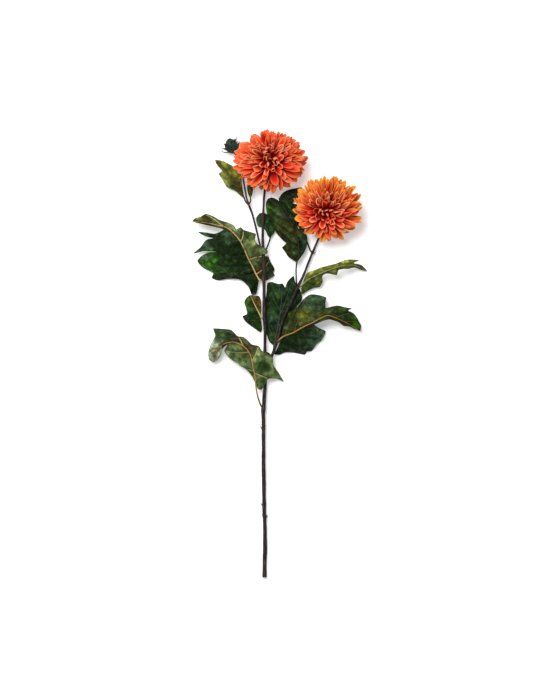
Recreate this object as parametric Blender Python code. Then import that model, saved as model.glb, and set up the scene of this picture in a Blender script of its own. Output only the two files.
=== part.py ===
"""A cut chrysanthemum spray, lying down: two open blooms, a bud and eleven leaves on one branched stem.

The spray's own frame has its origin at the cut end of the stem. X is across the spray, Y runs up the
stem, and Z is the height above the surface that the spray lies on. Lengths in this file are millimetres
until an object is made, which is where they become metres.
"""
import math
import random

import bmesh
import bpy
import numpy as np
from mathutils import Vector
from mathutils.geometry import delaunay_2d_cdt

MM = 0.001
RANDOM_SEED = 7
GOLDEN_ANGLE = math.radians(137.508)
TOUCH_GAP = 0.3

STEM_SIDES = 10
TWIG_SIDES = 8
STALK_SIDES = 6

BLADE_HALF_THICKNESS = 0.4
RIB_RISE = 0.5
RIB_DEPTH = 1.1
NORMAL_SMOOTHING = 2
# The grid of points inside a blade: its spacing, its row height and its least distance from the edge.
BLADE_GRID = 9.0
GRID_ROW = 0.866
GRID_MARGIN = 0.45

PETALS_PER_BLOOM = 84
PETAL_HALF_THICKNESS = 0.42
CORE_RADIUS = 0.40
CORE_HEIGHT = 0.24
CORE_LIFT = 0.02
CALYX_SIDES = 12

STEM_BROWN = (0.045, 0.026, 0.022)
LEAF_GREEN = (0.035, 0.085, 0.022)
OLIVE_GREEN = (0.16, 0.17, 0.035)
CORAL = (0.82, 0.13, 0.045)
AMBER = (0.87, 0.22, 0.03)
BUD_GREEN = (0.03, 0.09, 0.035)

# The main stem from its cut end, the branch to the right bloom and the branch to the bud: x, y, z and
# radius. Each ends in a face that is set square to the bloom or bud that it carries.
MAIN_STEM = [
    (0, 0, 3.14, 3.3), (0, 16, 3.05, 3.2), (0.8, 50, 3.6, 3.1), (0.2, 93, 4.3, 3.1), (-0.2, 96, 4.4, 3.7),
    (-0.4, 99, 4.4, 3.1), (-1.1, 147, 5.4, 3.0), (-1.6, 189, 6.4, 3.0), (-1.6, 228, 7.6, 3.0),
    (-1.9, 255, 8.5, 3.1), (-1.7, 260, 8.7, 3.7), (-1.2, 266, 8.9, 3.1), (0.8, 298, 10, 2.8),
    (1.2, 318, 10.7, 3.3), (1.2, 329, 11, 2.9), (0.6, 353, 11.8, 2.5), (0.8, 383, 12.6, 2.6),
    (0, 402, 13.8, 2.9), (-0.8, 429, 15.4, 2.5), (-0.8, 460, 17, 2.7), (-1.5, 487, 17, 2.9),
    (-2.6, 520, 15.6, 2.1), (-2.6, 546, 13, 1.9), (-1.4, 577, 10.2, 1.8), (0.3, 598, 8.6, 1.8),
    (3.6, 618, 7.2, 1.9), (6.8, 632.5, 6.2, 2.0), (7.9, 639.5, 6.1, 2.1), (8.5, 644.1, 7.4, 2.2),
    (8.9, 646.8, 10.6, 2.3), (8.9, 646.9, 13.2, 2.5),
]
RIGHT_BRANCH = [
    (2.0, 317, 10.7, 2.1), (6.5, 330, 11.2, 2.1), (11.6, 343, 11.2, 2.3), (19.4, 366, 10.8, 2.4),
    (24.5, 386, 10.2, 2.0), (30.5, 404, 9.6, 2.1), (41.4, 427, 9.0, 2.0), (50.6, 448, 8.6, 2.4),
    (59.2, 465, 8.0, 1.9), (66.7, 484, 7.4, 1.8), (74, 502, 6.8, 1.9), (80, 516, 6.2, 1.7),
    (85, 527.5, 5.6, 1.7), (90, 540, 5.0, 1.8), (93.6, 552, 4.8, 1.9), (96.4, 562, 5.2, 2.0),
    (97.1, 567.6, 5.5, 2.1), (97.4, 571.2, 7.1, 2.2), (97.5, 573.1, 10.3, 2.3), (97.4, 573.1, 12.8, 2.5),
]
BUD_BRANCH = [
    (-1.6, 490, 16.6, 1.6), (-5.2, 506, 15.8, 1.5), (-8.8, 522, 14.8, 1.5), (-13.4, 541, 13.6, 1.5),
    (-18.6, 561, 13, 1.6), (-24.2, 576, 12.5, 1.8), (-27.9, 588, 12, 1.4), (-32.4, 613, 11.4, 1.3),
    (-37, 634, 10.9, 1.3), (-41.4, 648, 10.8, 1.4),
]
STEM_END_RADIUS = 2.6
BUD_STEM_END_RADIUS = 1.6

# Short thorn-like stubs left by lost leaves: foot, tip and foot radius.
STUBS = [
    ((-1.6, 228, 7.6), (-6.6, 234, 8.6), 1.2),
    ((0.2, 93, 4.3), (5.4, 96, 4.8), 1.2),
    ((-0.2, 110, 4.6), (-6.2, 115, 5.0), 1.1),
    ((74, 502, 6.8), (79.5, 504, 7.6), 1.1),
]

# Each leaf: the place inside the stem that it grows from, its stalk, its midrib from base to tip, its two
# edges from base to tip, and how strongly each half of its blade domes between the midrib and the edge.
LEAVES = {
    "leaf_mid_left": {
        "stem_point": (-1.0, 461, 16.4),
        "stalk": [(-5.4, 459.7, 14.6), (-8.5, 461.5, 13)],
        "rib": [(-8.5, 461.5, 13), (-14, 471, 15), (-19, 482, 19), (-25, 493, 25), (-31, 507, 33),
                (-37, 519, 40), (-44, 528, 43), (-52, 536, 43), (-60, 541, 40), (-72, 544, 35),
                (-90, 548, 28), (-112, 550.5, 20)],
        "left": [(-10, 452, 10), (-13.5, 438, 5), (-19.5, 437.5, 4), (-25, 450, 6),
                 (-37, 460.5, 8), (-57, 462, 5), (-73, 460, 2.4), (-82, 464, 0.6),
                 (-79, 471, 5), (-97, 481, 5), (-104, 490, 6), (-98, 497, 8),
                 (-86, 503, 11), (-73, 503.5, 16), (-92, 505, 12), (-110, 501.5, 8),
                 (-99, 511, 12), (-90, 522, 16), (-79, 524.5, 21), (-91, 527.5, 17),
                 (-103, 534.5, 13), (-88, 533, 20), (-75, 531.5, 27), (-63, 537.5, 34),
                 (-75, 541, 33), (-92, 545, 27), (-104, 548, 23)],
        "right": [(2, 459.5, 6), (10, 463.5, 5), (16, 468, 4),
                  (13.5, 472, 4.5), (15.5, 477, 4.5), (8.5, 490, 6.5),
                  (6, 497, 7.5), (-3, 496.5, 8.8), (-10, 494.5, 14.5),
                  (-4, 498.5, 20.4), (4, 501, 21), (5, 505, 21), (0, 510, 21),
                  (-9, 514, 23),
                  (-15, 522, 25), (-13, 531, 24), (-24, 534.5, 27), (-32, 537, 30),
                  (-37, 541, 32), (-43, 537, 37), (-48, 544, 37), (-56, 548, 36),
                  (-66, 551, 34), (-80, 558.5, 27), (-91, 562, 22), (-99, 557.5, 22),
                  (-107, 555.5, 19)],
        "doming": (0.022, 0.004),
        "colour": LEAF_GREEN,
    },
    "leaf_small_left": {
        "stem_point": (0, 398, 13),
        "stalk": [(-4.2, 401.5, 14), (-6.5, 405.5, 15)],
        "rib": [(-6.5, 405.5, 15), (-11, 414, 18), (-16, 424, 19), (-22, 437, 16)],
        "left": [(-5.5, 398, 11), (-4, 384, 6), (-6, 379.5, 4), (-21, 389.5, 3),
                 (-31, 398, 4), (-34, 404, 5), (-27, 408, 9), (-28.5, 417, 11),
                 (-31, 425, 12), (-28.5, 432, 14)],
        "right": [(-5.4, 409, 17), (-5.0, 417, 18.5), (-5.2, 427, 19), (-8, 435, 18),
                  (-15, 436, 17.5)],
        "doming": (0.020, 0.016),
        "colour": LEAF_GREEN,
    },
    "leaf_low_left": {
        "stem_point": (-1.7, 262, 8.8),
        "stalk": [(-5.6, 266, 10.5), (-9, 275, 14), (-12, 287, 18), (-13.5, 299, 21.5)],
        "rib": [(-13.5, 299, 21.5), (-15, 314, 26), (-18, 328, 30), (-22, 345, 34), (-30, 356, 36),
                (-38, 361, 37), (-47, 364, 36), (-55, 363.5, 33), (-63, 361, 29), (-70, 356, 24),
                (-76, 347, 18), (-80, 333, 11)],
        "left": [(-18.5, 310, 22), (-28, 322, 19), (-38, 328, 15), (-42, 331.5, 15),
                 (-51, 337, 12), (-58, 344, 13), (-62, 350.5, 14.5), (-59.5, 356, 22),
                 (-57, 360.5, 29), (-64.5, 354, 24), (-67, 345, 18), (-73, 336, 12)],
        "right": [(-10, 292, 17), (-5, 290.5, 15.5), (0.5, 299, 17), (5, 307, 17),
                  (14, 308, 13), (23, 306.5, 8), (29.5, 302.5, 5), (24, 313, 11),
                  (13.5, 330, 18), (12.5, 341, 17.5), (7, 347.5, 18), (-4, 350.5, 22),
                  (-9, 358, 22), (-20, 360.5, 27), (-26, 367, 26), (-33, 372, 25),
                  (-41, 373, 26), (-51, 382.5, 21), (-64, 384.5, 16), (-79.5, 385, 10),
                  (-76, 374, 18), (-82, 362, 18), (-87, 347, 14), (-85.5, 337, 11)],
        "doming": (0.024, 0.018),
        "colour": OLIVE_GREEN,
    },
    "leaf_low_back": {
        "stem_point": (11.6, 343, 11.2),
        "stalk": [(13.6, 349.5, 7.6), (14.6, 358, 6.2)],
        "rib": [(14.6, 358, 6.2), (18, 375, 5.2), (22.5, 398, 4.6), (25.5, 420, 4.2), (27, 438, 3.6),
                (28, 455, 2.6)],
        "left": [(7, 366, 5), (2, 384, 4), (-1, 404, 3.4), (0, 422, 3),
                 (3, 440, 2.6), (5, 456, 1.6), (10, 457.5, 1.8), (21, 454.5, 2.4)],
        "right": [(24, 365, 4.6), (34, 382, 4), (41, 399, 3.6), (47, 414, 3.4),
                  (58, 431, 2.6), (56, 443, 2.6), (48, 456, 2.4), (45, 467, 1.8),
                  (35.5, 458, 2), (32, 448.5, 3)],
        "doming": (0.004, 0.004),
        "colour": LEAF_GREEN,
    },
    "leaf_low_right": {
        "stem_point": (18.4, 363, 10.9),
        "stalk": [(22.2, 366.8, 13.2), (26, 370.8, 15.6)],
        "rib": [(26, 370.8, 15.6), (33, 374.5, 19), (44, 378.5, 24), (52, 383, 27.5), (62, 388.5, 31),
                (75, 394.5, 34), (87, 401, 35), (97, 405, 33.5), (106, 403, 30.5), (118, 398, 25),
                (131, 391.5, 18), (148, 381.5, 9)],
        "left": [(27.5, 381, 16), (33, 396, 16), (37, 409, 16), (50, 417.5, 17),
                 (59, 429, 15), (70, 437.5, 11), (83, 437, 12), (95.5, 433, 12),
                 (94, 424, 19), (94.5, 416.5, 25), (104, 419, 25), (113, 420.5, 22),
                 (124, 418, 19), (135, 416, 15), (129, 413, 19), (137, 409, 16),
                 (143, 402, 14), (146, 396, 12), (149.5, 389.5, 9)],
        "right": [(20.5, 356, 4.6), (14.5, 345.5, 3), (22, 344.5, 2.6),
                  (33, 348.5, 3.6),
                  (48, 347.5, 2), (63, 345, 0.6), (65.5, 349.5, 3), (73, 350.5, 3),
                  (80, 360, 5), (88, 367, 6), (94.5, 381, 8), (84, 386, 16),
                  (77, 391, 28), (87, 395.5, 31), (99, 399, 31), (108, 397, 27),
                  (114, 395, 24), (122, 389.5, 19), (131, 388, 16), (140, 384, 12)],
        "doming": (0.022, 0.024),
        "colour": LEAF_GREEN,
    },
    "leaf_mid_right": {
        "stem_point": (50.8, 448.4, 8.6),
        "stalk": [(56.4, 450.4, 10.9), (59.4, 453.6, 13)],
        "rib": [(59.4, 453.6, 13), (67, 460.5, 18), (79, 466.5, 24), (91, 472, 29), (103, 476.5, 31.5),
                (116, 480.5, 31), (129, 483, 26), (143, 481.5, 17.5), (159, 474, 1.2)],
        "left": [(60.5, 459.5, 15), (66, 471, 18.6), (75, 474.5, 22), (87, 479, 25),
                 (98, 482, 28), (110, 485, 28), (120, 489, 25), (129.5, 491.5, 22),
                 (146, 490.5, 13), (137.5, 486.2, 20.5), (149, 483.5, 12), (156, 478, 4)],
        "right": [(56.8, 447, 9.6), (57.3, 437, 6), (66, 443, 5), (76, 448, 6),
                  (85, 449.5, 7), (89.5, 457, 12), (89.8, 467, 20), (97, 470, 26),
                  (111.5, 467.5, 23), (114, 475, 28), (122, 477, 26), (129, 477, 22),
                  (138, 479.3, 18.5), (150, 475.6, 8)],
        "doming": (0.020, 0.024),
        "colour": OLIVE_GREEN,
    },
    "leaf_high_mid": {
        "stem_point": (51, 449.5, 8.6),
        "stalk": [(49.6, 453.8, 11.4), (49, 464, 14), (48.8, 476, 16.5), (50, 487, 18.5)],
        "rib": [(50, 487, 18.5), (52.5, 498, 21), (53, 511, 23), (50, 525, 24.5), (44.5, 540, 25.5),
                (37, 554, 25.5), (27, 568, 24), (16, 579, 21), (5, 585.5, 18)],
        "left": [(44, 491, 15), (37, 496, 12), (31, 505, 10), (27, 510.5, 9),
                 (34, 517, 13), (28, 522, 13), (19, 532, 13), (14, 540, 14),
                 (9, 549, 15), (5, 559, 16), (2.6, 569, 16.5), (2.4, 580, 17)],
        "right": [(55, 494, 17), (62, 504, 14), (66, 517, 12), (65.5, 528, 11.5),
                  (60, 538, 12), (55.5, 541.5, 13), (52, 539, 18), (49, 551, 16),
                  (43, 561, 16), (36, 570, 16), (27, 578, 16.5), (18, 585, 17),
                  (11, 587.5, 17)],
        "doming": (0.020, 0.020),
        "colour": LEAF_GREEN,
    },
    "leaf_high_small": {
        "stem_point": (-2.0, 500, 15.4),
        "stalk": [(2.2, 506.5, 12.6), (6, 516, 10.4), (8.6, 525, 8.6)],
        "rib": [(8.6, 525, 8.6), (7.5, 533, 7.8), (3.5, 543, 7), (-1.5, 553, 6.4), (-8, 563.5, 5)],
        "left": [(5, 529, 7.6), (1.5, 537, 6.6), (-5, 542, 5.4), (-9.5, 543.5, 4.8),
                 (-12.5, 550, 4.2), (-12.6, 557, 4.2)],
        "right": [(12, 529, 7.6), (16, 535.5, 6.6), (14, 544, 6), (10, 553, 5.6),
                  (5, 561, 5.2), (-2, 565, 4.8)],
        "doming": (0.014, 0.014),
        "colour": LEAF_GREEN,
    },
    "leaf_behind_bloom": {
        "stem_point": (74, 502, 6.8),
        "stalk": [(70.6, 506.8, 6.4), (66, 519, 5.6), (61, 533, 5)],
        "rib": [(61, 533, 5), (56, 547, 4.8), (50, 561, 5), (43, 575, 5.4), (33, 587, 5.2),
                (21.5, 586, 4)],
        "left": [(54, 541, 3.6), (47, 550, 3.2), (41, 559, 3.2), (35, 567, 3.4),
                 (29, 574, 3.6), (24, 579.5, 3.8)],
        "right": [(64, 546, 3.6), (66, 557, 3), (60, 568, 3), (52, 577, 3.6),
                  (43.5, 579, 4.8), (48, 584, 4), (57, 594, 2), (58, 604, 0.6),
                  (48, 602.5, 3), (37, 600, 3.4), (28, 595, 3.6)],
        "doming": (0.008, 0.008),
        "colour": LEAF_GREEN,
    },
    "leaf_high_left": {
        "stem_point": (-24.2, 576, 12.5),
        "stalk": [(-28.6, 580.6, 13.6), (-31.4, 586.6, 15)],
        "rib": [(-31.4, 586.6, 15), (-36, 598, 18), (-43, 609, 20), (-52, 620, 20), (-62, 631.5, 17),
                (-76.5, 646, 10)],
        "left": [(-37, 590.5, 13), (-45, 598, 11), (-58, 604, 7), (-64, 614, 5),
                 (-71, 625, 0.6), (-65, 629.5, 11), (-70, 634.5, 10), (-75, 641, 9)],
        "right": [(-32.8, 595.5, 17.5), (-34.5, 605, 18.5), (-35.5, 616, 19),
                  (-37, 627, 18), (-46, 634, 17), (-56, 640, 15), (-67, 645, 12)],
        "doming": (0.018, 0.016),
        "colour": OLIVE_GREEN,
    },
    "bract_high_left": {
        "stem_point": (-24.6, 577, 12.5),
        "stalk": [(-21.6, 581.6, 14.2), (-21.8, 586.6, 15.2)],
        "rib": [(-21.8, 586.6, 15.2), (-22.4, 598, 17), (-22.2, 610, 17), (-21.6, 622, 15)],
        "left": [(-24.4, 591, 14.8), (-27, 601, 15.6), (-26, 612, 15.8)],
        "right": [(-19.6, 591, 14.8), (-17.4, 601, 15.6), (-17.6, 612, 15.6)],
        "doming": (0.020, 0.020),
        "colour": OLIVE_GREEN,
    },
}

# Each bloom: the middle of its disc, where its axis points, its radius, how far it is stretched across
# and along the spray, how far its outline is shifted from its middle, and its petals' colour.
BLOOMS = {
    "left": {"centre": (9.5, 642.5, 38), "axis": (0.03, -0.17, 0.985), "radius": 59, "stretch": (1.0, 0.84),
             "shift": (0.0, 0.0), "colour": CORAL},
    "right": {"centre": (95.6, 565.5, 36), "axis": (-0.07, -0.31, 0.948), "radius": 56,
              "stretch": (1.0, 0.96), "shift": (0.04, 0.10), "colour": AMBER},
}
PETAL_SPREAD = math.radians(104)
PETAL_STATIONS = ((0.0, 0.45), (0.5, 0.95), (0.82, 0.8))
# The calyx's half section, as heights and radii in millimetres for a bloom of the reference radius.
CALYX_SECTION = ((-21.6, 3.4), (-20, 9), (-16, 14.5), (-11.5, 17), (-10, 16.2), (-11.6, 12.5), (-13.6, 6))
CALYX_RADIUS = 59
BUD_CENTRE = (-50, 666, 12.5)
BUD_AXIS = (-0.42, 0.88, 0.12)
BUD_RADIUS = 10
BUD_LENGTHENING = 1.15
# The bud's sepals: height of the foot along the bud, angle around it, and length.
SEPALS = ((-0.5, 268, 14), (-0.2, 300, 12), (-0.5, 330, 11), (-0.45, 30, 10), (-0.1, 70, 9),
          (0.1, 262, 10), (0.5, 300, 8), (0.55, 0, 8), (0.6, 60, 8), (0.4, 110, 8))

spray = None


def start_scene():
    """Clears the scene and makes the empty that carries the spray."""
    global spray
    for item in list(bpy.data.objects):
        bpy.data.objects.remove(item, do_unlink=True)
    spray = bpy.data.objects.new("spray_frame", None)
    bpy.context.scene.collection.objects.link(spray)


def unit(vector):
    vector = np.asarray(vector, dtype=float)
    return vector / np.linalg.norm(vector)


def material(name, colour, roughness):
    surface = bpy.data.materials.get(name) or bpy.data.materials.new(name)
    surface.use_nodes = True
    shader = surface.node_tree.nodes["Principled BSDF"]
    shader.inputs["Base Color"].default_value = (*colour, 1.0)
    shader.inputs["Roughness"].default_value = roughness
    shader.inputs["Metallic"].default_value = 0.0
    return surface


def add_object(name, points, faces, surface=None):
    """Makes an object from millimetre points, with its faces turned outwards."""
    mesh = bpy.data.meshes.new(name)
    mesh.from_pydata([tuple(float(c) * MM for c in p) for p in points], [], [list(f) for f in faces])
    solid = bmesh.new()
    solid.from_mesh(mesh)
    bmesh.ops.recalc_face_normals(solid, faces=solid.faces)
    solid.to_mesh(mesh)
    solid.free()
    if surface:
        mesh.materials.append(surface)
    item = bpy.data.objects.new(name, mesh)
    bpy.context.scene.collection.objects.link(item)
    item.parent = spray
    return item


def catmull(points, place):
    """Reads a smooth curve through the points at a place given as a point's number."""
    points = np.asarray(points, dtype=float)
    last = len(points) - 1
    k = min(int(place), last - 1)
    t = place - k
    before = points[k - 1] if k > 0 else 2 * points[0] - points[1]
    after = points[k + 2] if k + 2 <= last else 2 * points[last] - points[last - 1]
    a, b = points[k], points[k + 1]
    return 0.5 * (2 * a + (b - before) * t + (2 * before - 5 * a + 4 * b - after) * t * t
                  + (3 * a - before - 3 * b + after) * t ** 3)


def tube(path, radii, sides, first_direction=None, last_direction=None):
    """Points and faces of a closed tube along a path, its ends square to the given directions."""
    path = np.asarray(path, dtype=float)
    directions = [unit(path[min(i + 1, len(path) - 1)] - path[max(i - 1, 0)]) for i in range(len(path))]
    if first_direction is not None:
        directions[0] = unit(first_direction)
    if last_direction is not None:
        directions[-1] = unit(last_direction)
    points, faces = [], []
    side = np.cross(directions[0], (0, 0, 1) if abs(directions[0][2]) < 0.9 else (1, 0, 0))
    for centre, direction, radius in zip(path, directions, radii):
        side = unit(side - direction * np.dot(side, direction))
        up = np.cross(side, direction)
        for n in range(sides):
            angle = 2 * math.pi * n / sides
            points.append(centre + radius * (math.cos(angle) * side + math.sin(angle) * up))
    for ring in range(len(path) - 1):
        for n in range(sides):
            a, b = ring * sides + n, ring * sides + (n + 1) % sides
            faces.append((a, b, b + sides, a + sides))
    faces.append(tuple(range(sides))[::-1])
    faces.append(tuple(range((len(path) - 1) * sides, len(path) * sides)))
    return points, faces


def fuse(base, pieces, solver="EXACT"):
    """Joins the pieces to the base with one Boolean, and removes the pieces."""
    group = bpy.data.collections.new(base.name + "_pieces")
    bpy.context.scene.collection.children.link(group)
    for piece in pieces:
        bpy.context.scene.collection.objects.unlink(piece)
        group.objects.link(piece)
    joint = base.modifiers.new("fuse", "BOOLEAN")
    joint.operation = "UNION"
    joint.operand_type = "COLLECTION"
    joint.collection = group
    joint.solver = solver
    bpy.context.view_layer.update()
    evaluated = base.evaluated_get(bpy.context.evaluated_depsgraph_get())
    fused = bpy.data.meshes.new_from_object(evaluated)
    base.modifiers.remove(joint)
    base.data = fused
    for piece in pieces:
        bpy.data.objects.remove(piece, do_unlink=True)
    bpy.data.collections.remove(group)


def round_off(item, angle=40):
    for face in item.data.polygons:
        face.use_smooth = True
    item.data.set_sharp_from_angle(angle=math.radians(angle))


def back_of(bloom):
    """The middle of the face that a stem ends in, a hair short of the calyx behind a bloom."""
    depth = bloom["radius"] / CALYX_RADIUS * CALYX_SECTION[0][0] - TOUCH_GAP
    return np.array(bloom["centre"]) + depth * unit(bloom["axis"])


def make_stem():
    """The stem, its two branches and the foot of every leaf stalk, grown as one piece."""
    bark = material("stem_brown", STEM_BROWN, 0.6)
    bodies = []
    left, right = BLOOMS["left"], BLOOMS["right"]
    bud_end = np.array(BUD_CENTRE) - (BUD_LENGTHENING * BUD_RADIUS + TOUCH_GAP) * unit(BUD_AXIS)
    for name, path, sides, end, end_radius, axis in (
            ("stem", MAIN_STEM, STEM_SIDES, back_of(left), STEM_END_RADIUS, left["axis"]),
            ("twig_right", RIGHT_BRANCH, TWIG_SIDES, back_of(right), STEM_END_RADIUS, right["axis"]),
            ("twig_bud", BUD_BRANCH, TWIG_SIDES, bud_end, BUD_STEM_END_RADIUS, BUD_AXIS)):
        spine = [p[:3] for p in path] + [end]
        radii = [p[3] for p in path] + [end_radius]
        bodies.append(add_object(name, *tube(spine, radii, sides, last_direction=axis), bark))
    for n, (foot, tip, radius) in enumerate(STUBS):
        shape = tube([foot, tip], [radius, 0.6 * radius], STALK_SIDES)
        bodies.append(add_object(f"stub_{n}", *shape, bark))
    for name, leaf in LEAVES.items():
        start, following = np.array(leaf["stalk"][0]), np.array(leaf["stalk"][1])
        out = unit(following - start)
        face = start - TOUCH_GAP * out
        shape = tube([leaf["stem_point"], face], [1.6, 1.15], STALK_SIDES, last_direction=out)
        bodies.append(add_object("foot_" + name, *shape, bark))
    stem = bodies[0]
    fuse(stem, bodies[1:])
    round_off(stem)
    return stem


def inside(outline, x, y):
    """Whether a place seen from above lies inside an outline."""
    crossings = 0
    for (x0, y0), (x1, y1) in zip(outline, np.roll(outline, -1, axis=0)):
        if (y0 > y) != (y1 > y) and x < x0 + (y - y0) * (x1 - x0) / (y1 - y0):
            crossings += 1
    return crossings % 2 == 1


def distance_to(outline, x, y):
    """How far a place seen from above lies from an outline."""
    start = outline
    along = np.roll(outline, -1, axis=0) - start
    share = ((np.array((x, y)) - start) * along).sum(axis=1) / (along ** 2).sum(axis=1)
    nearest = start + np.clip(share, 0, 1)[:, None] * along
    return np.linalg.norm(nearest - (x, y), axis=1).min()


def grid_inside(outline, spacing):
    """Evenly spaced places inside an outline, in rows like a honeycomb's."""
    low, high = outline.min(axis=0), outline.max(axis=0)
    places = []
    rows = int((high[1] - low[1]) / (GRID_ROW * spacing)) + 1
    columns = int((high[0] - low[0]) / spacing) + 1
    for row in range(rows):
        for column in range(columns):
            x = low[0] + (column + 0.5 * (row % 2)) * spacing
            y = low[1] + (row + 0.5) * GRID_ROW * spacing
            if inside(outline, x, y) and distance_to(outline, x, y) > GRID_MARGIN * spacing:
                places.append((x, y))
    return places


def stretch_over(flat, triangles, heights, doming):
    """Finds the free heights of a sheet that hangs smoothly from its outline and domes upwards."""
    count = len(flat)
    pull = np.zeros((count, count))
    lift = np.zeros(count)
    for triangle in triangles:
        for k in range(3):
            a, b, c = triangle[k], triangle[(k + 1) % 3], triangle[(k + 2) % 3]
            to_a, to_b = flat[a] - flat[c], flat[b] - flat[c]
            area = abs(to_a[0] * to_b[1] - to_a[1] * to_b[0])
            weight = 0.5 * np.dot(to_a, to_b) / area
            pull[a, b] -= weight
            pull[b, a] -= weight
            pull[a, a] += weight
            pull[b, b] += weight
            lift[a] += doming * area / 6
    held = len(heights)
    free_heights = np.linalg.solve(pull[held:, held:], lift[held:] - pull[held:, :held] @ heights)
    return np.concatenate([heights, free_heights])


def blade_sheet(leaf, spacing):
    """The middle surface of a leaf blade: points, triangles and the numbers of the midrib's points."""
    points = [np.array(p, dtype=float) for p in leaf["rib"]]
    rib_row = list(range(len(points)))
    triangles = []
    for side, doming in zip(("left", "right"), leaf["doming"]):
        edge_row = list(range(len(points), len(points) + len(leaf[side])))
        points += [np.array(p, dtype=float) for p in leaf[side]]
        around = rib_row + edge_row[::-1]
        outline = np.array([points[n][:2] for n in around])
        grid = grid_inside(outline, spacing)
        flat = [Vector(p) for p in outline] + [Vector(p) for p in grid]
        result = delaunay_2d_cdt(flat, [], [list(range(len(around)))], 1, 1e-6)
        made, faces, sources = result[0], result[2], result[3]
        order = [source[0] for source in sources]
        half = [tuple(order[n] for n in face) for face in faces]
        heights = stretch_over(np.array([tuple(p) for p in flat]), half,
                               np.array([points[n][2] for n in around]), doming)
        numbers = around + list(range(len(points), len(points) + len(grid)))
        points += [np.array((x, y, z)) for (x, y), z in zip(grid, heights[len(around):])]
        triangles += [tuple(numbers[n] for n in triangle) for triangle in half]
    return np.array(points), triangles, rib_row


def thicken(points, triangles, rise, depth):
    """A closed solid from a sheet: each point moves by its own rise and depth along its normal."""
    normals = np.zeros_like(points)
    for a, b, c in triangles:
        area = np.cross(points[b] - points[a], points[c] - points[a])
        for n in (a, b, c):
            normals[n] += area
    normals /= np.linalg.norm(normals, axis=1)[:, None]
    for _ in range(NORMAL_SMOOTHING):
        blended = normals.copy()
        for a, b, c in triangles:
            blended[a] += 0.5 * (normals[b] + normals[c])
            blended[b] += 0.5 * (normals[c] + normals[a])
            blended[c] += 0.5 * (normals[a] + normals[b])
        normals = blended / np.linalg.norm(blended, axis=1)[:, None]
    if normals[:, 2].sum() < 0:
        normals = -normals
        triangles = [t[::-1] for t in triangles]
    count = len(points)
    solid = np.vstack([points + normals * rise[:, None], points - normals * depth[:, None]])
    faces = [tuple(t) for t in triangles] + [tuple(n + count for n in t[::-1]) for t in triangles]
    sides = {}
    for a, b, c in triangles:
        for edge in ((a, b), (b, c), (c, a)):
            sides[edge] = True
    for a, b in sides:
        if (b, a) not in sides:
            faces.append((b, a, a + count, b + count))
    return solid, faces


def make_leaf(name, leaf):
    """A lobed blade with its thicker midrib, and the stalk that it grew on."""
    points, triangles, rib_row = blade_sheet(leaf, BLADE_GRID)
    rise = np.full(len(points), BLADE_HALF_THICKNESS)
    depth = np.full(len(points), BLADE_HALF_THICKNESS)
    for order, n in enumerate(rib_row):
        fade = 1 - order / len(rib_row)
        rise[n] = BLADE_HALF_THICKNESS + (RIB_RISE - BLADE_HALF_THICKNESS) * fade
        depth[n] = BLADE_HALF_THICKNESS + (RIB_DEPTH - BLADE_HALF_THICKNESS) * fade
    surface = material(name + "_green", leaf["colour"], 0.45)
    blade = add_object(name, *thicken(points, triangles, rise, depth), surface)
    spine = list(leaf["stalk"]) + [catmull(leaf["rib"], 0.45)]
    radii = [1.15] + [1.1] * (len(spine) - 2) + [0.7]
    lowered = [np.array(p, dtype=float) for p in spine]
    lowered[-1][2] -= 0.5
    first = np.array(leaf["stalk"][1], dtype=float) - np.array(leaf["stalk"][0], dtype=float)
    stalk = add_object(name + "_stalk", *tube(lowered, radii, STALK_SIDES, first_direction=first), surface)
    fuse(blade, [stalk])
    round_off(blade, 50)
    return blade


def bloom_frame(axis):
    """Three directions of a bloom or bud: across it, along the spray, and out along its axis."""
    axis = unit(axis)
    across = unit(np.cross((0, 1, 0), axis))
    return across, np.cross(axis, across), axis


def petal_sheet(base, control, tip, across, width, cup):
    """A cupped petal on a curved middle line: three points at each station, and one at its tip."""
    points, triangles = [], []
    for t, share in PETAL_STATIONS:
        middle = (1 - t) ** 2 * base + 2 * t * (1 - t) * control + t * t * tip
        direction = unit(2 * (1 - t) * (control - base) + 2 * t * (tip - control))
        side = unit(across - direction * np.dot(across, direction))
        raised = np.cross(direction, side)
        half = 0.5 * width * share
        points += [middle - half * side + cup * half * raised, middle,
                   middle + half * side + cup * half * raised]
    points.append(tip)
    for k in range(len(PETAL_STATIONS) - 1):
        for n in (3 * k, 3 * k + 1):
            triangles += [(n, n + 1, n + 4), (n, n + 4, n + 3)]
    last = len(points) - 1
    triangles += [(last - 3, last - 2, last), (last - 2, last - 1, last)]
    return np.array(points), triangles


def smooth_step(value, low, high):
    share = min(max((value - low) / (high - low), 0.0), 1.0)
    return share * share * (3 - 2 * share)


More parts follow.
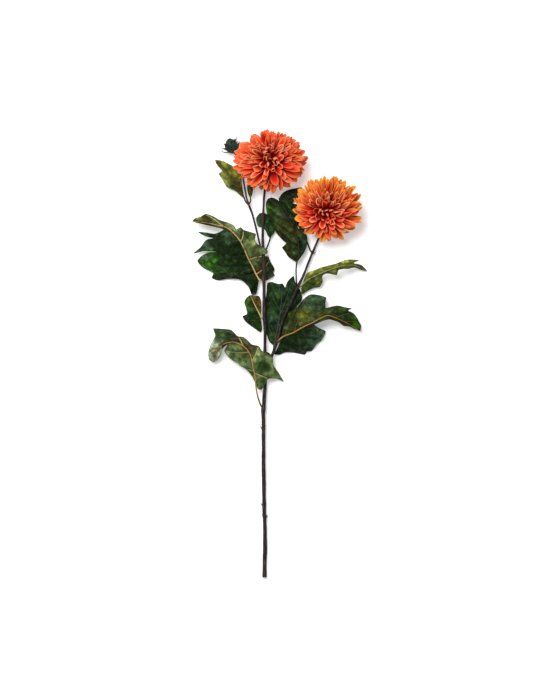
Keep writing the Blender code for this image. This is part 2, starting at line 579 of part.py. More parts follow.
def make_bloom(name, bloom, rng):
    """A small core with its petals standing out of it in a spiral, from the middle to the back."""
    centre = np.array(bloom["centre"], dtype=float)
    radius = bloom["radius"]
    u, v, axis = bloom_frame(bloom["axis"])
    wide, long = bloom["stretch"]
    shift = bloom["shift"][0] * u + bloom["shift"][1] * v
    surface = material("petal_" + name, bloom["colour"], 0.55)

    core_mesh = bmesh.new()
    bmesh.ops.create_icosphere(core_mesh, subdivisions=2, radius=1.0)
    core_points = [centre + radius * (CORE_RADIUS * (p.co.x * wide * u + p.co.y * long * v)
                                      + (CORE_HEIGHT * p.co.z + CORE_LIFT) * axis) for p in core_mesh.verts]
    core_faces = [[p.index for p in face.verts] for face in core_mesh.faces]
    core_mesh.free()
    core = add_object("bloom_" + name, core_points, core_faces, surface)

    petals = []
    for n in range(PETALS_PER_BLOOM):
        share = (n + 3) / (PETALS_PER_BLOOM + 3)
        loose = 1 - 0.7 * share
        spread = PETAL_SPREAD * share ** 0.6 + rng.uniform(-0.05, 0.05)
        angle = n * GOLDEN_ANGLE + rng.uniform(-0.16, 0.16) * loose
        radial = math.cos(angle) * wide * u + math.sin(angle) * long * v
        round_it = -math.sin(angle) * u + math.cos(angle) * v
        out, up = math.sin(spread), math.cos(spread)
        inner = max(0.0, 1 - spread / math.radians(50))
        # The petals above the middle, short of the outermost, stand up more and curl over it.
        lean = max(0.0, math.sin(angle)) * smooth_step(spread, math.radians(20), math.radians(45)) * \
            (1 - smooth_step(spread, math.radians(60), math.radians(80)))
        reach = rng.uniform(0.93, 1.01)
        rise, sway, height = rng.uniform(-0.05, 0.05), rng.uniform(-0.09, 0.09) * loose, rng.uniform(-0.08, 0.06)
        width = radius * (0.25 - 0.03 * inner) * rng.uniform(0.85, 1.1)
        base = centre + radius * (0.22 * out * radial + (0.20 * up + 0.02) * axis)
        control = centre + radius * ((0.58 * out + 0.12 * inner) * radial + (0.40 * up + 0.09 + rise) * axis)
        tip = centre + radius * reach * (out * (1 - 0.22 * inner - 0.16 * lean) * (radial + shift) + sway * round_it
                                         + (0.50 * up + 0.03 + 0.05 * inner + 0.16 * lean + height) * axis)
        points, triangles = petal_sheet(base, control, tip, round_it, width * (0.69 - 0.09 * inner),
                                        0.75 + 0.2 * inner)
        half = np.full(len(points), PETAL_HALF_THICKNESS)
        petals.append(add_object(f"petal_{name}_{n}", *thicken(points, triangles, half, half), surface))
    fuse(core, petals, solver="MANIFOLD")
    return core


def make_calyx(name, bloom):
    """The green cup behind a bloom, a hair clear of the bloom's core."""
    centre = np.array(bloom["centre"], dtype=float)
    u, v, axis = bloom_frame(bloom["axis"])
    wide, long = bloom["stretch"]
    surface = material("calyx_green", BUD_GREEN, 0.6)
    scale = bloom["radius"] / CALYX_RADIUS
    points, faces = [], []
    for height, radius in CALYX_SECTION:
        for n in range(CALYX_SIDES):
            angle = 2 * math.pi * n / CALYX_SIDES
            radial = math.cos(angle) * wide * u + math.sin(angle) * long * v
            points.append(centre + scale * (height * axis + radius * radial))
    last = len(CALYX_SECTION) - 1
    for ring in range(last):
        for n in range(CALYX_SIDES):
            a, b = ring * CALYX_SIDES + n, ring * CALYX_SIDES + (n + 1) % CALYX_SIDES
            faces.append((a, b, b + CALYX_SIDES, a + CALYX_SIDES))
    faces.append(tuple(range(CALYX_SIDES))[::-1])
    faces.append(tuple(range(last * CALYX_SIDES, (last + 1) * CALYX_SIDES)))
    return add_object("calyx_" + name, points, faces, surface)


def make_bud():
    """The closed bud: a green egg with its sepals standing out of it."""
    surface = material("bud_green", BUD_GREEN, 0.6)
    u, v, axis = bloom_frame(BUD_AXIS)
    centre = np.array(BUD_CENTRE, dtype=float)
    egg = bmesh.new()
    bmesh.ops.create_uvsphere(egg, u_segments=12, v_segments=8, radius=1.0)
    points = [centre + BUD_RADIUS * (p.co.x * u + p.co.y * v + BUD_LENGTHENING * p.co.z * axis)
              for p in egg.verts]
    faces = [[p.index for p in face.verts] for face in egg.faces]
    egg.free()
    bud = add_object("bud", points, faces, surface)
    sepals = []
    for n, (height, angle, length) in enumerate(SEPALS):
        radial = math.cos(math.radians(angle)) * u + math.sin(math.radians(angle)) * v
        foot = centre + BUD_RADIUS * (0.75 * math.sqrt(1 - height ** 2) * radial + height * axis)
        tip = foot + length * unit(0.8 * radial + 0.5 * axis)
        sepals.append(add_object(f"sepal_{n}", *tube([foot, tip], [2.2, 0.6], STALK_SIDES), surface))
    fuse(bud, sepals)
    round_off(bud)
    return bud


def rest_on_surface(objects):
    """Moves the spray so that the middle of its underside is the world's origin."""
    corners = np.array([item.matrix_world @ v.co for item in objects for v in item.data.vertices])
    low, high = corners.min(axis=0), corners.max(axis=0)
    spray.location = Vector((-(low[0] + high[0]) / 2, -(low[1] + high[1]) / 2, -low[2]))
    bpy.context.view_layer.update()


def main():
    start_scene()
    rng = random.Random(RANDOM_SEED)
    objects = [make_stem()]
    for name, leaf in LEAVES.items():
        objects.append(make_leaf(name, leaf))
    for name, bloom in BLOOMS.items():
        objects.append(make_bloom(name, bloom, rng))
        objects.append(make_calyx(name, bloom))
    objects.append(make_bud())
    rest_on_surface(objects)


main()
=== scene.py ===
# %% [markdown]
# # A cut chrysanthemum spray
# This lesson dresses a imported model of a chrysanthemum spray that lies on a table: one branched woody stem,
# two open blooms, a closed bud, ten lobed leaves and one small bract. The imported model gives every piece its
# place and size. Here each plain solid gets the piece that the eye sees: veined leaves, blooms of many
# petals, bark.

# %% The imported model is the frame
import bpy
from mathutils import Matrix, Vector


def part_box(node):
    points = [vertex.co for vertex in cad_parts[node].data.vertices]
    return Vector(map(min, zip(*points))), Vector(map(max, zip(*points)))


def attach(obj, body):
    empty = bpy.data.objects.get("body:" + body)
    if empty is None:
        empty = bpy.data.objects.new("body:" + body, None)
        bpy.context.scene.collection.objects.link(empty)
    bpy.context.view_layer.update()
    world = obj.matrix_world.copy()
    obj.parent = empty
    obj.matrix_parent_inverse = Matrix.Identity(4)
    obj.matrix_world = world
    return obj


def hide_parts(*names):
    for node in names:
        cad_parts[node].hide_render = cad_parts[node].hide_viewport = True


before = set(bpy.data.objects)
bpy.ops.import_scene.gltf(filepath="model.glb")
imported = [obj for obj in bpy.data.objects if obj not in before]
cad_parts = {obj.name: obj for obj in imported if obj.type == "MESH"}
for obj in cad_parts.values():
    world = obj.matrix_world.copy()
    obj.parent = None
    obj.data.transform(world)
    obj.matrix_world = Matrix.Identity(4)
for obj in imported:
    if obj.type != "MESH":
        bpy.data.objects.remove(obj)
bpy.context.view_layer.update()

# %% The tools that the lesson uses
import math
import random

import bmesh
import bpy
import numpy as np
from mathutils import Vector, noise
from mathutils.geometry import delaunay_2d_cdt

# %% [markdown]
# ## Measuring
# A spray is easiest to measure in millimetres from the cut end of its stem: X across, Y up the stem, Z the
# height above the table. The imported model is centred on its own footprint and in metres, so one short
# function turns the first into the second, and every piece goes through it.

# %% Millimetres on the spray become metres in the scene
MM = 0.001
SPRAY_ORIGIN = np.array((-23.56, -345.64, 0.0))


def to_scene(points):
    """Spray millimetres as scene metres."""
    return (np.asarray(points, dtype=float) + SPRAY_ORIGIN) * MM


stem_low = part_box("stem")[0]
print("the stem starts at", [round(c, 4) for c in to_scene((0, 0, 0))],
      "and its node at", [round(c, 4) for c in stem_low])

# %% [markdown]
# ## Smooth curves
# Stems, midribs and leaf edges are all given by a few measured points. A Catmull-Rom curve passes through
# every one of them, so what was measured stays where it was, and the rest bends smoothly between. The same
# function also reads radii, because they are just one more coordinate.

# %% Curves through measured points
def read_curve(points, places):
    """A smooth curve through the points, read at places that are given as point numbers."""
    points, places = np.asarray(points, dtype=float), np.atleast_1d(np.asarray(places, dtype=float))
    padded = np.vstack([2 * points[0] - points[1], points, 2 * points[-1] - points[-2]])
    k = np.clip(np.floor(places).astype(int), 0, len(points) - 2)
    t = (places - k)[:, None]
    a, b, c, d = padded[k], padded[k + 1], padded[k + 2], padded[k + 3]
    return 0.5 * (2 * b + (c - a) * t + (2 * a - 5 * b + 4 * c - d) * t * t + (3 * b - a - 3 * c + d) * t ** 3)


def even_places(points, spacing):
    """Places along a curve that lie about evenly apart."""
    lengths = np.linalg.norm(np.diff(np.asarray(points, dtype=float)[:, :3], axis=0), axis=1)
    parts = [np.linspace(k, k + 1, max(1, round(length / spacing)), endpoint=False)
             for k, length in enumerate(lengths)]
    return np.concatenate(parts + [[float(len(lengths))]])


def unit(vector):
    vector = np.asarray(vector, dtype=float)
    return vector / np.linalg.norm(vector)


def smooth_step(value, low, high):
    """Rises softly from 0 at low to 1 at high."""
    t = np.clip((value - low) / (high - low), 0, 1)
    return t * t * (3 - 2 * t)


# %% [markdown]
# ## Working as by hand
# Operators act on whatever is selected, and loading the frame leaves its nodes selected. So each step first
# selects exactly the objects it means. Meshes from arrays of points get their values, such as the distance to
# the nearest vein, as attributes that ride along when pieces are copied, joined or thickened.

# %% Selecting, adding, joining and finishing
BODY = "root"


def select_only(*items):
    bpy.ops.object.select_all(action="DESELECT")
    for item in items:
        item.select_set(True)
    bpy.context.view_layer.objects.active = items[0]


def add_object(name, data):
    """A new object in the scene."""
    item = bpy.data.objects.new(name, data)
    bpy.context.scene.collection.objects.link(item)
    return item


def add_primitive(name, operator, **settings):
    """A primitive of Blender's own, added while nothing else is selected."""
    bpy.ops.object.select_all(action="DESELECT")
    operator(**settings)
    item = bpy.context.object
    item.name = item.data.name = name
    return item


def join(items, name):
    """Joins objects into the first and names it."""
    select_only(*items)
    bpy.ops.object.join()
    joined = bpy.context.object
    joined.name = joined.data.name = name
    return joined


def thicken(item, thickness, back=0):
    """Gives a sheet its thickness, half to each side, and its back the finish of that number."""
    select_only(item)
    modifier = item.modifiers.new("Thickness", "SOLIDIFY")
    modifier.thickness, modifier.offset = thickness * MM, 0.0
    modifier.material_offset, modifier.material_offset_rim = back, 0
    bpy.ops.object.modifier_apply(modifier=modifier.name)


def set_values(mesh, **values):
    """Writes one number for each point, under each name, for the materials to read."""
    for name, numbers in values.items():
        column = mesh.attributes.get(name) or mesh.attributes.new(name, "FLOAT", "POINT")
        column.data.foreach_set("value", np.broadcast_to(np.asarray(numbers, dtype=np.float32),
                                                         len(mesh.vertices)).ravel())


def points_of(mesh):
    """The mesh's points as an array, in metres."""
    flat = np.empty(3 * len(mesh.vertices), dtype=np.float32)
    mesh.vertices.foreach_get("co", flat)
    return flat.reshape(-1, 3).astype(float)


def place_points(mesh, points):
    """Moves the mesh's points to places in spray millimetres."""
    mesh.vertices.foreach_set("co", to_scene(points).astype(np.float32).ravel())


def rod(name, path, radii, roundness=2):
    """A round rod through points in spray millimetres: a bevelled curve that is turned into a mesh."""
    line = bpy.data.curves.new(name, "CURVE")
    line.dimensions = "3D"
    line.bevel_depth = MM
    line.bevel_resolution = roundness
    line.use_fill_caps = True
    spline = line.splines.new("POLY")
    spline.points.add(len(path) - 1)
    for point, place, radius in zip(spline.points, to_scene(path), radii):
        point.co = (*place, 1)
        point.radius = radius
    select_only(add_object(name, line))
    bpy.ops.object.convert(target="MESH")
    bpy.ops.object.shade_smooth()
    return bpy.context.object


def finish_piece(item, node):
    """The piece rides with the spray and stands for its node."""
    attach(item, BODY)
    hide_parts(node)
    print(f"{item.name}: {len(item.data.polygons)} faces for {node}")


# %% [markdown]
# ## Materials as expressions
# A finish is easier to read as a sum than as a picture of wires: `vein.mix(green, cream)` says what it does.
# One small class wraps a node's output, so that arithmetic on it adds Math nodes. Any other node comes from
# one method, which sets the node's own options first and then the values or links of its sockets.

# %% A socket that can be reckoned with
class Socket:
    """A node's output in a material's tree."""

    def __init__(self, tree, output=None):
        self.tree, self.output = tree, output

    def plug(self, socket, value):
        if isinstance(value, Socket):
            self.tree.links.new(value.output, socket)
        else:
            socket.default_value = (*value, 1.0) if isinstance(value, tuple) and socket.type == "RGBA" else value

    def node(self, kind, settings=None, pick=0, **values):
        """Adds a node: its options first, then the values or links of its sockets, named without spaces."""
        made = self.tree.nodes.new("ShaderNode" + kind)
        for name, value in (settings or {}).items():
            setattr(made, name, value)
        for name, value in values.items():
            self.plug(next(s for s in made.inputs
                           if name in (s.identifier.replace(" ", "_"), s.name.replace(" ", "_"))), value)
        outputs = [s for s in made.outputs if pick in (s.identifier, s.name)]
        return Socket(self.tree, outputs[0] if outputs else made.outputs[0])

    def math(self, operation, *others):
        """A Math node on this value and any others."""
        names = ("Value", "Value_001", "Value_002")
        return self.node("Math", {"operation": operation}, **dict(zip(names, (self, *others))))

    def __add__(self, other): return self.math("ADD", other)
    def __radd__(self, other): return self.math("ADD", other)
    def __sub__(self, other): return self.math("SUBTRACT", other)
    def __rsub__(self, other): return self.math("MULTIPLY_ADD", -1.0, other)
    def __mul__(self, other): return self.math("MULTIPLY", other)
    def __rmul__(self, other): return self.math("MULTIPLY", other)

    def step(self, low, high):
        """A soft step from 0 at low to 1 at high, or the other way where low is the greater."""
        if low > high:
            return 1 - self.step(high, low)
        return self.node("MapRange", {"interpolation_type": "SMOOTHSTEP"}, Value=self, From_Min=low, From_Max=high)

    def mix(self, low, high, blend="MIX"):
        """A colour between two others, by this mask."""
        return self.node("Mix", {"data_type": "RGBA", "blend_type": blend, "clamp_factor": True}, "Result_Color",
                         Factor_Float=self, A_Color=low, B_Color=high)

    def attribute(self, name):
        return self.node("Attribute", {"attribute_name": name}, "Fac")

    def place(self):
        """Where a point of the piece is, in metres."""
        return self.node("TexCoord", pick="Object")

    def stretched(self, x, y, z):
        return self.node("VectorMath", {"operation": "MULTIPLY"}, Vector=self, Vector_001=Vector((x, y, z)))

    def distance(self, point):
        """How far this place is from a point in spray millimetres, in metres."""
        return self.node("VectorMath", {"operation": "DISTANCE"}, "Value", Vector=self,
                         Vector_001=Vector(to_scene(point)))

    def noise(self, scale, detail=2.0, roughness=0.5):
        return self.node("TexNoise", pick="Fac", Vector=self, Scale=scale, Detail=detail, Roughness=roughness)

    def bump(self, distance, strength=1.0):
        """This height as a bump, its full height being a distance in metres."""
        return self.node("Bump", pick="Normal", Strength=strength, Distance=distance, Height=self)


def finish(name, roughness, paint):
    """A material whose colour, roughness and bump come from a function of its tree."""
    surface = bpy.data.materials.new(name)
    surface.use_nodes = True
    tree = Socket(surface.node_tree)
    shader = surface.node_tree.nodes["Principled BSDF"]
    shader.inputs["Roughness"].default_value = roughness
    for socket, value in paint(tree).items():
        tree.plug(shader.inputs[socket.replace("_", " ")], value)
    print("finish", name, "has", len(surface.node_tree.nodes), "nodes")
    return surface


# %% [markdown]
# ## The stem
# On the real spray a thin brown stem carries two side branches. It swells at each node, where a leaf grew,
# and its bark is ridged and dull. It could be a cylinder bent by hand, but a curve with a radius at each
# point keeps every measured place, so the stem is a bevelled curve turned into a mesh. The ridges are then
# pressed into its points by a noise that is stretched along the stem.

# %% Where the stem and its branches run: x, y, z and radius
MAIN_STEM = [
    (0, 0, 3.14, 3.3), (0, 16, 3.05, 3.2), (0.8, 50, 3.6, 3.1), (0.2, 93, 4.3, 3.1), (-0.2, 96, 4.4, 3.7),
    (-0.4, 99, 4.4, 3.1), (-1.1, 147, 5.4, 3.0), (-1.6, 189, 6.4, 3.0), (-1.6, 228, 7.6, 3.0),
    (-1.9, 255, 8.5, 3.1), (-1.7, 260, 8.7, 3.7), (-1.2, 266, 8.9, 3.1), (0.8, 298, 10, 2.8),
    (1.2, 318, 10.7, 3.3), (1.2, 329, 11, 2.9), (0.6, 353, 11.8, 2.5), (0.8, 383, 12.6, 2.6),
    (0, 402, 13.8, 2.9), (-0.8, 429, 15.4, 2.5), (-0.8, 460, 17, 2.7), (-1.5, 487, 17, 2.9),
    (-2.6, 520, 15.6, 2.1), (-2.6, 546, 13, 1.9), (-1.4, 577, 10.2, 1.8), (0.3, 598, 8.6, 1.8),
    (3.6, 618, 7.2, 1.9), (6.8, 632.5, 6.2, 2.0), (7.9, 639.5, 6.1, 2.1), (8.5, 644.1, 7.4, 2.2),
    (8.9, 646.8, 10.6, 2.3), (8.9, 646.9, 17.0, 2.5),
]
RIGHT_BRANCH = [
    (2.0, 317, 10.7, 2.1), (6.5, 330, 11.2, 2.1), (11.6, 343, 11.2, 2.3), (19.4, 366, 10.8, 2.4),
    (24.5, 386, 10.2, 2.0), (30.5, 404, 9.6, 2.1), (41.4, 427, 9.0, 2.0), (50.6, 448, 8.6, 2.4),
    (59.2, 465, 8.0, 1.9), (66.7, 484, 7.4, 1.8), (74, 502, 6.8, 1.9), (80, 516, 6.2, 1.7),
    (85, 527.5, 5.6, 1.7), (90, 540, 5.0, 1.8), (93.6, 552, 4.8, 1.9), (96.4, 562, 5.2, 2.0),
    (97.1, 567.6, 5.5, 2.1), (97.4, 571.2, 7.1, 2.2), (97.5, 573.1, 10.3, 2.3), (97.2, 572.3, 16.6, 2.5),
]
BUD_BRANCH = [
    (-1.6, 490, 16.6, 1.6), (-5.2, 506, 15.8, 1.5), (-8.8, 522, 14.8, 1.5), (-13.4, 541, 13.6, 1.5),
    (-18.6, 561, 13, 1.6), (-24.2, 576, 12.5, 1.8), (-27.9, 588, 12, 1.4), (-32.4, 613, 11.4, 1.3),
    (-37, 634, 10.9, 1.3), (-41.4, 648, 10.8, 1.4), (-45.6, 656.6, 11.2, 1.6),
]
# Short thorn-like stubs left by lost leaves: foot, tip and foot radius.
STUBS = [
    ((-1.6, 228, 7.6), (-6.6, 234, 8.6), 1.2),
    ((0.2, 93, 4.3), (5.4, 96, 4.8), 1.2),
    ((-0.2, 110, 4.6), (-6.2, 115, 5.0), 1.1),
    ((74, 502, 6.8), (79.5, 504, 7.6), 1.1),
]

# %% [markdown]
# ## What a bark is
# Seen close, the stem is almost black-brown with a mauve bloom on its ridges, and rust where it swells. The mauve
# streaks are partly a painted sheen. So the colour follows the same long streaks that the shape has, and small pale
# corky dots lie over them.

# %% The bark finish
DARK_BARK, RUST_BARK, MAUVE_BLOOM_AND_SHEEN = (0.012, 0.006, 0.006), (0.040, 0.016, 0.010), (0.105, 0.072, 0.080)


def paint_bark(tree):
    place = tree.place()
    streaks = place.stretched(1, 0.10, 1).noise(900, 3)
    patches = place.noise(60, 2)
    corky = place.node("TexVoronoi", pick="Distance", Vector=place, Scale=420.0).step(0.22, 0.10)
    # Painted sheen: the mauve streaks lighten the bark along its ridges, as light would, over its mauve bloom.
    colour = streaks.step(0.48, 0.74).mix(DARK_BARK, MAUVE_BLOOM_AND_SHEEN)
    colour = patches.step(0.52, 0.66).mix(colour, RUST_BARK)
    colour = (corky * 0.5).mix(colour, MAUVE_BLOOM_AND_SHEEN)
    return {"Base_Color": colour, "Roughness": 0.45 + streaks * 0.25, "Specular_IOR_Level": 0.2,
            "Normal": (streaks + corky * 0.4).bump(0.0004, 0.8)}


bark = finish("bark", 0.55, paint_bark)

# %% Bend the stem and its branches, press ridges into them, and join the stubs
BARK_SPACING = 2.2
# Two noises in the bark: how fast each changes along X, Y and Z, and how deep it goes as a share of the radius.
BARK_RELIEF = (((700, 60, 700), 0.13), ((90, 90, 90), 0.10))
STUB_POINTS, STUB_SAG = 8, (0, -1.2, 0)


def bark_rod(name, line):
    """A rod of bark through x, y, z and radius."""
    path = read_curve(line, even_places(line, BARK_SPACING))
    item = rod(name, path[:, :3], path[:, 3], roundness=6)
    centres = to_scene(path[:, :3])
    for vertex in item.data.vertices:
        near = centres[np.argmin(((centres - np.array(vertex.co)) ** 2).sum(axis=1))]
        ridge, lump = (depth * noise.noise(Vector([c * scale for c, scale in zip(vertex.co, scales)]))
                       for scales, depth in BARK_RELIEF)
        vertex.co += (vertex.co - Vector(near)) * (ridge + lump)
    return item


rods = [bark_rod("stem_bark", MAIN_STEM), bark_rod("twig_right", RIGHT_BRANCH), bark_rod("twig_bud", BUD_BRANCH)]
for n, (foot, tip, radius) in enumerate(STUBS):
    bend = (np.array(foot) + tip) / 2 + STUB_SAG
    path = read_curve([foot, bend, tip], np.linspace(0, 2, STUB_POINTS))
    rods.append(rod(f"stub_{n}", path, np.linspace(radius * 1.2, 0.35 * radius, STUB_POINTS)))
stem = join(rods, "stem_bark")
stem.data.materials.append(bark)

# %% [markdown]
# ## The cut
# Where the stem was cut it shows pale wood inside a rim of bark, round a softer pith. The lowest cap of the
# mesh is found by its place, inset twice in edit mode, and the new faces take the wood's own finish.

# %% Cut the lower end
WOOD, PITH = (0.30, 0.22, 0.11), (0.52, 0.46, 0.28)
# In millimetres: the bark's rim and how far the wood stands out of it, the wood's ring and how deep the pith lies.
BARK_RIM, WOOD_OUT, WOOD_RING, PITH_DEPTH = 0.5, 0.15, 1.2, 0.3


def paint_wood(tree):
    place = tree.place()
    grain = place.noise(1400, 3)
    away = place.distance(MAIN_STEM[0][:3])
    colour = (away + (grain - 0.5) * 0.6 * MM).step(1.5 * MM, 0.9 * MM).mix(WOOD, PITH)
    return {"Base_Color": (grain.step(0.45, 0.7) * 0.5).mix(colour, RUST_BARK), "Specular_IOR_Level": 0.2,
            "Normal": grain.bump(0.0002, 0.6)}


stem.data.materials.append(finish("cut_wood", 0.8, paint_wood))
select_only(stem)
bpy.ops.object.mode_set(mode="EDIT")
bpy.ops.mesh.select_all(action="DESELECT")
work = bmesh.from_edit_mesh(stem.data)
lowest = to_scene((0, 1, 0))[1]
for face in work.faces:
    if face.normal.y < -0.8 and face.calc_center_median().y < lowest:
        face.select_set(True)
print("faces at the cut:", sum(face.select for face in work.faces))
bpy.ops.mesh.inset(thickness=BARK_RIM * MM, depth=WOOD_OUT * MM)
stem.active_material_index = 1
bpy.ops.object.material_slot_assign()
bpy.ops.mesh.inset(thickness=WOOD_RING * MM, depth=-PITH_DEPTH * MM)
bpy.ops.mesh.faces_shade_flat()
bpy.ops.object.mode_set(mode="OBJECT")
finish_piece(stem, "stem")

# %% [markdown]
# ## The leaves' measurements
# A chrysanthemum leaf is deeply lobed, with a strong pale midrib that forks into side veins, one for each
# lobe. Each leaf is written down as its stalk, its midrib from base to tip and its two edges from base to
# tip, all as x, y and z. The side veins are pairs: where on the midrib a vein leaves it, and which edge point
# it runs to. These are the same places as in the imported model's source, so the blades lie where its do.

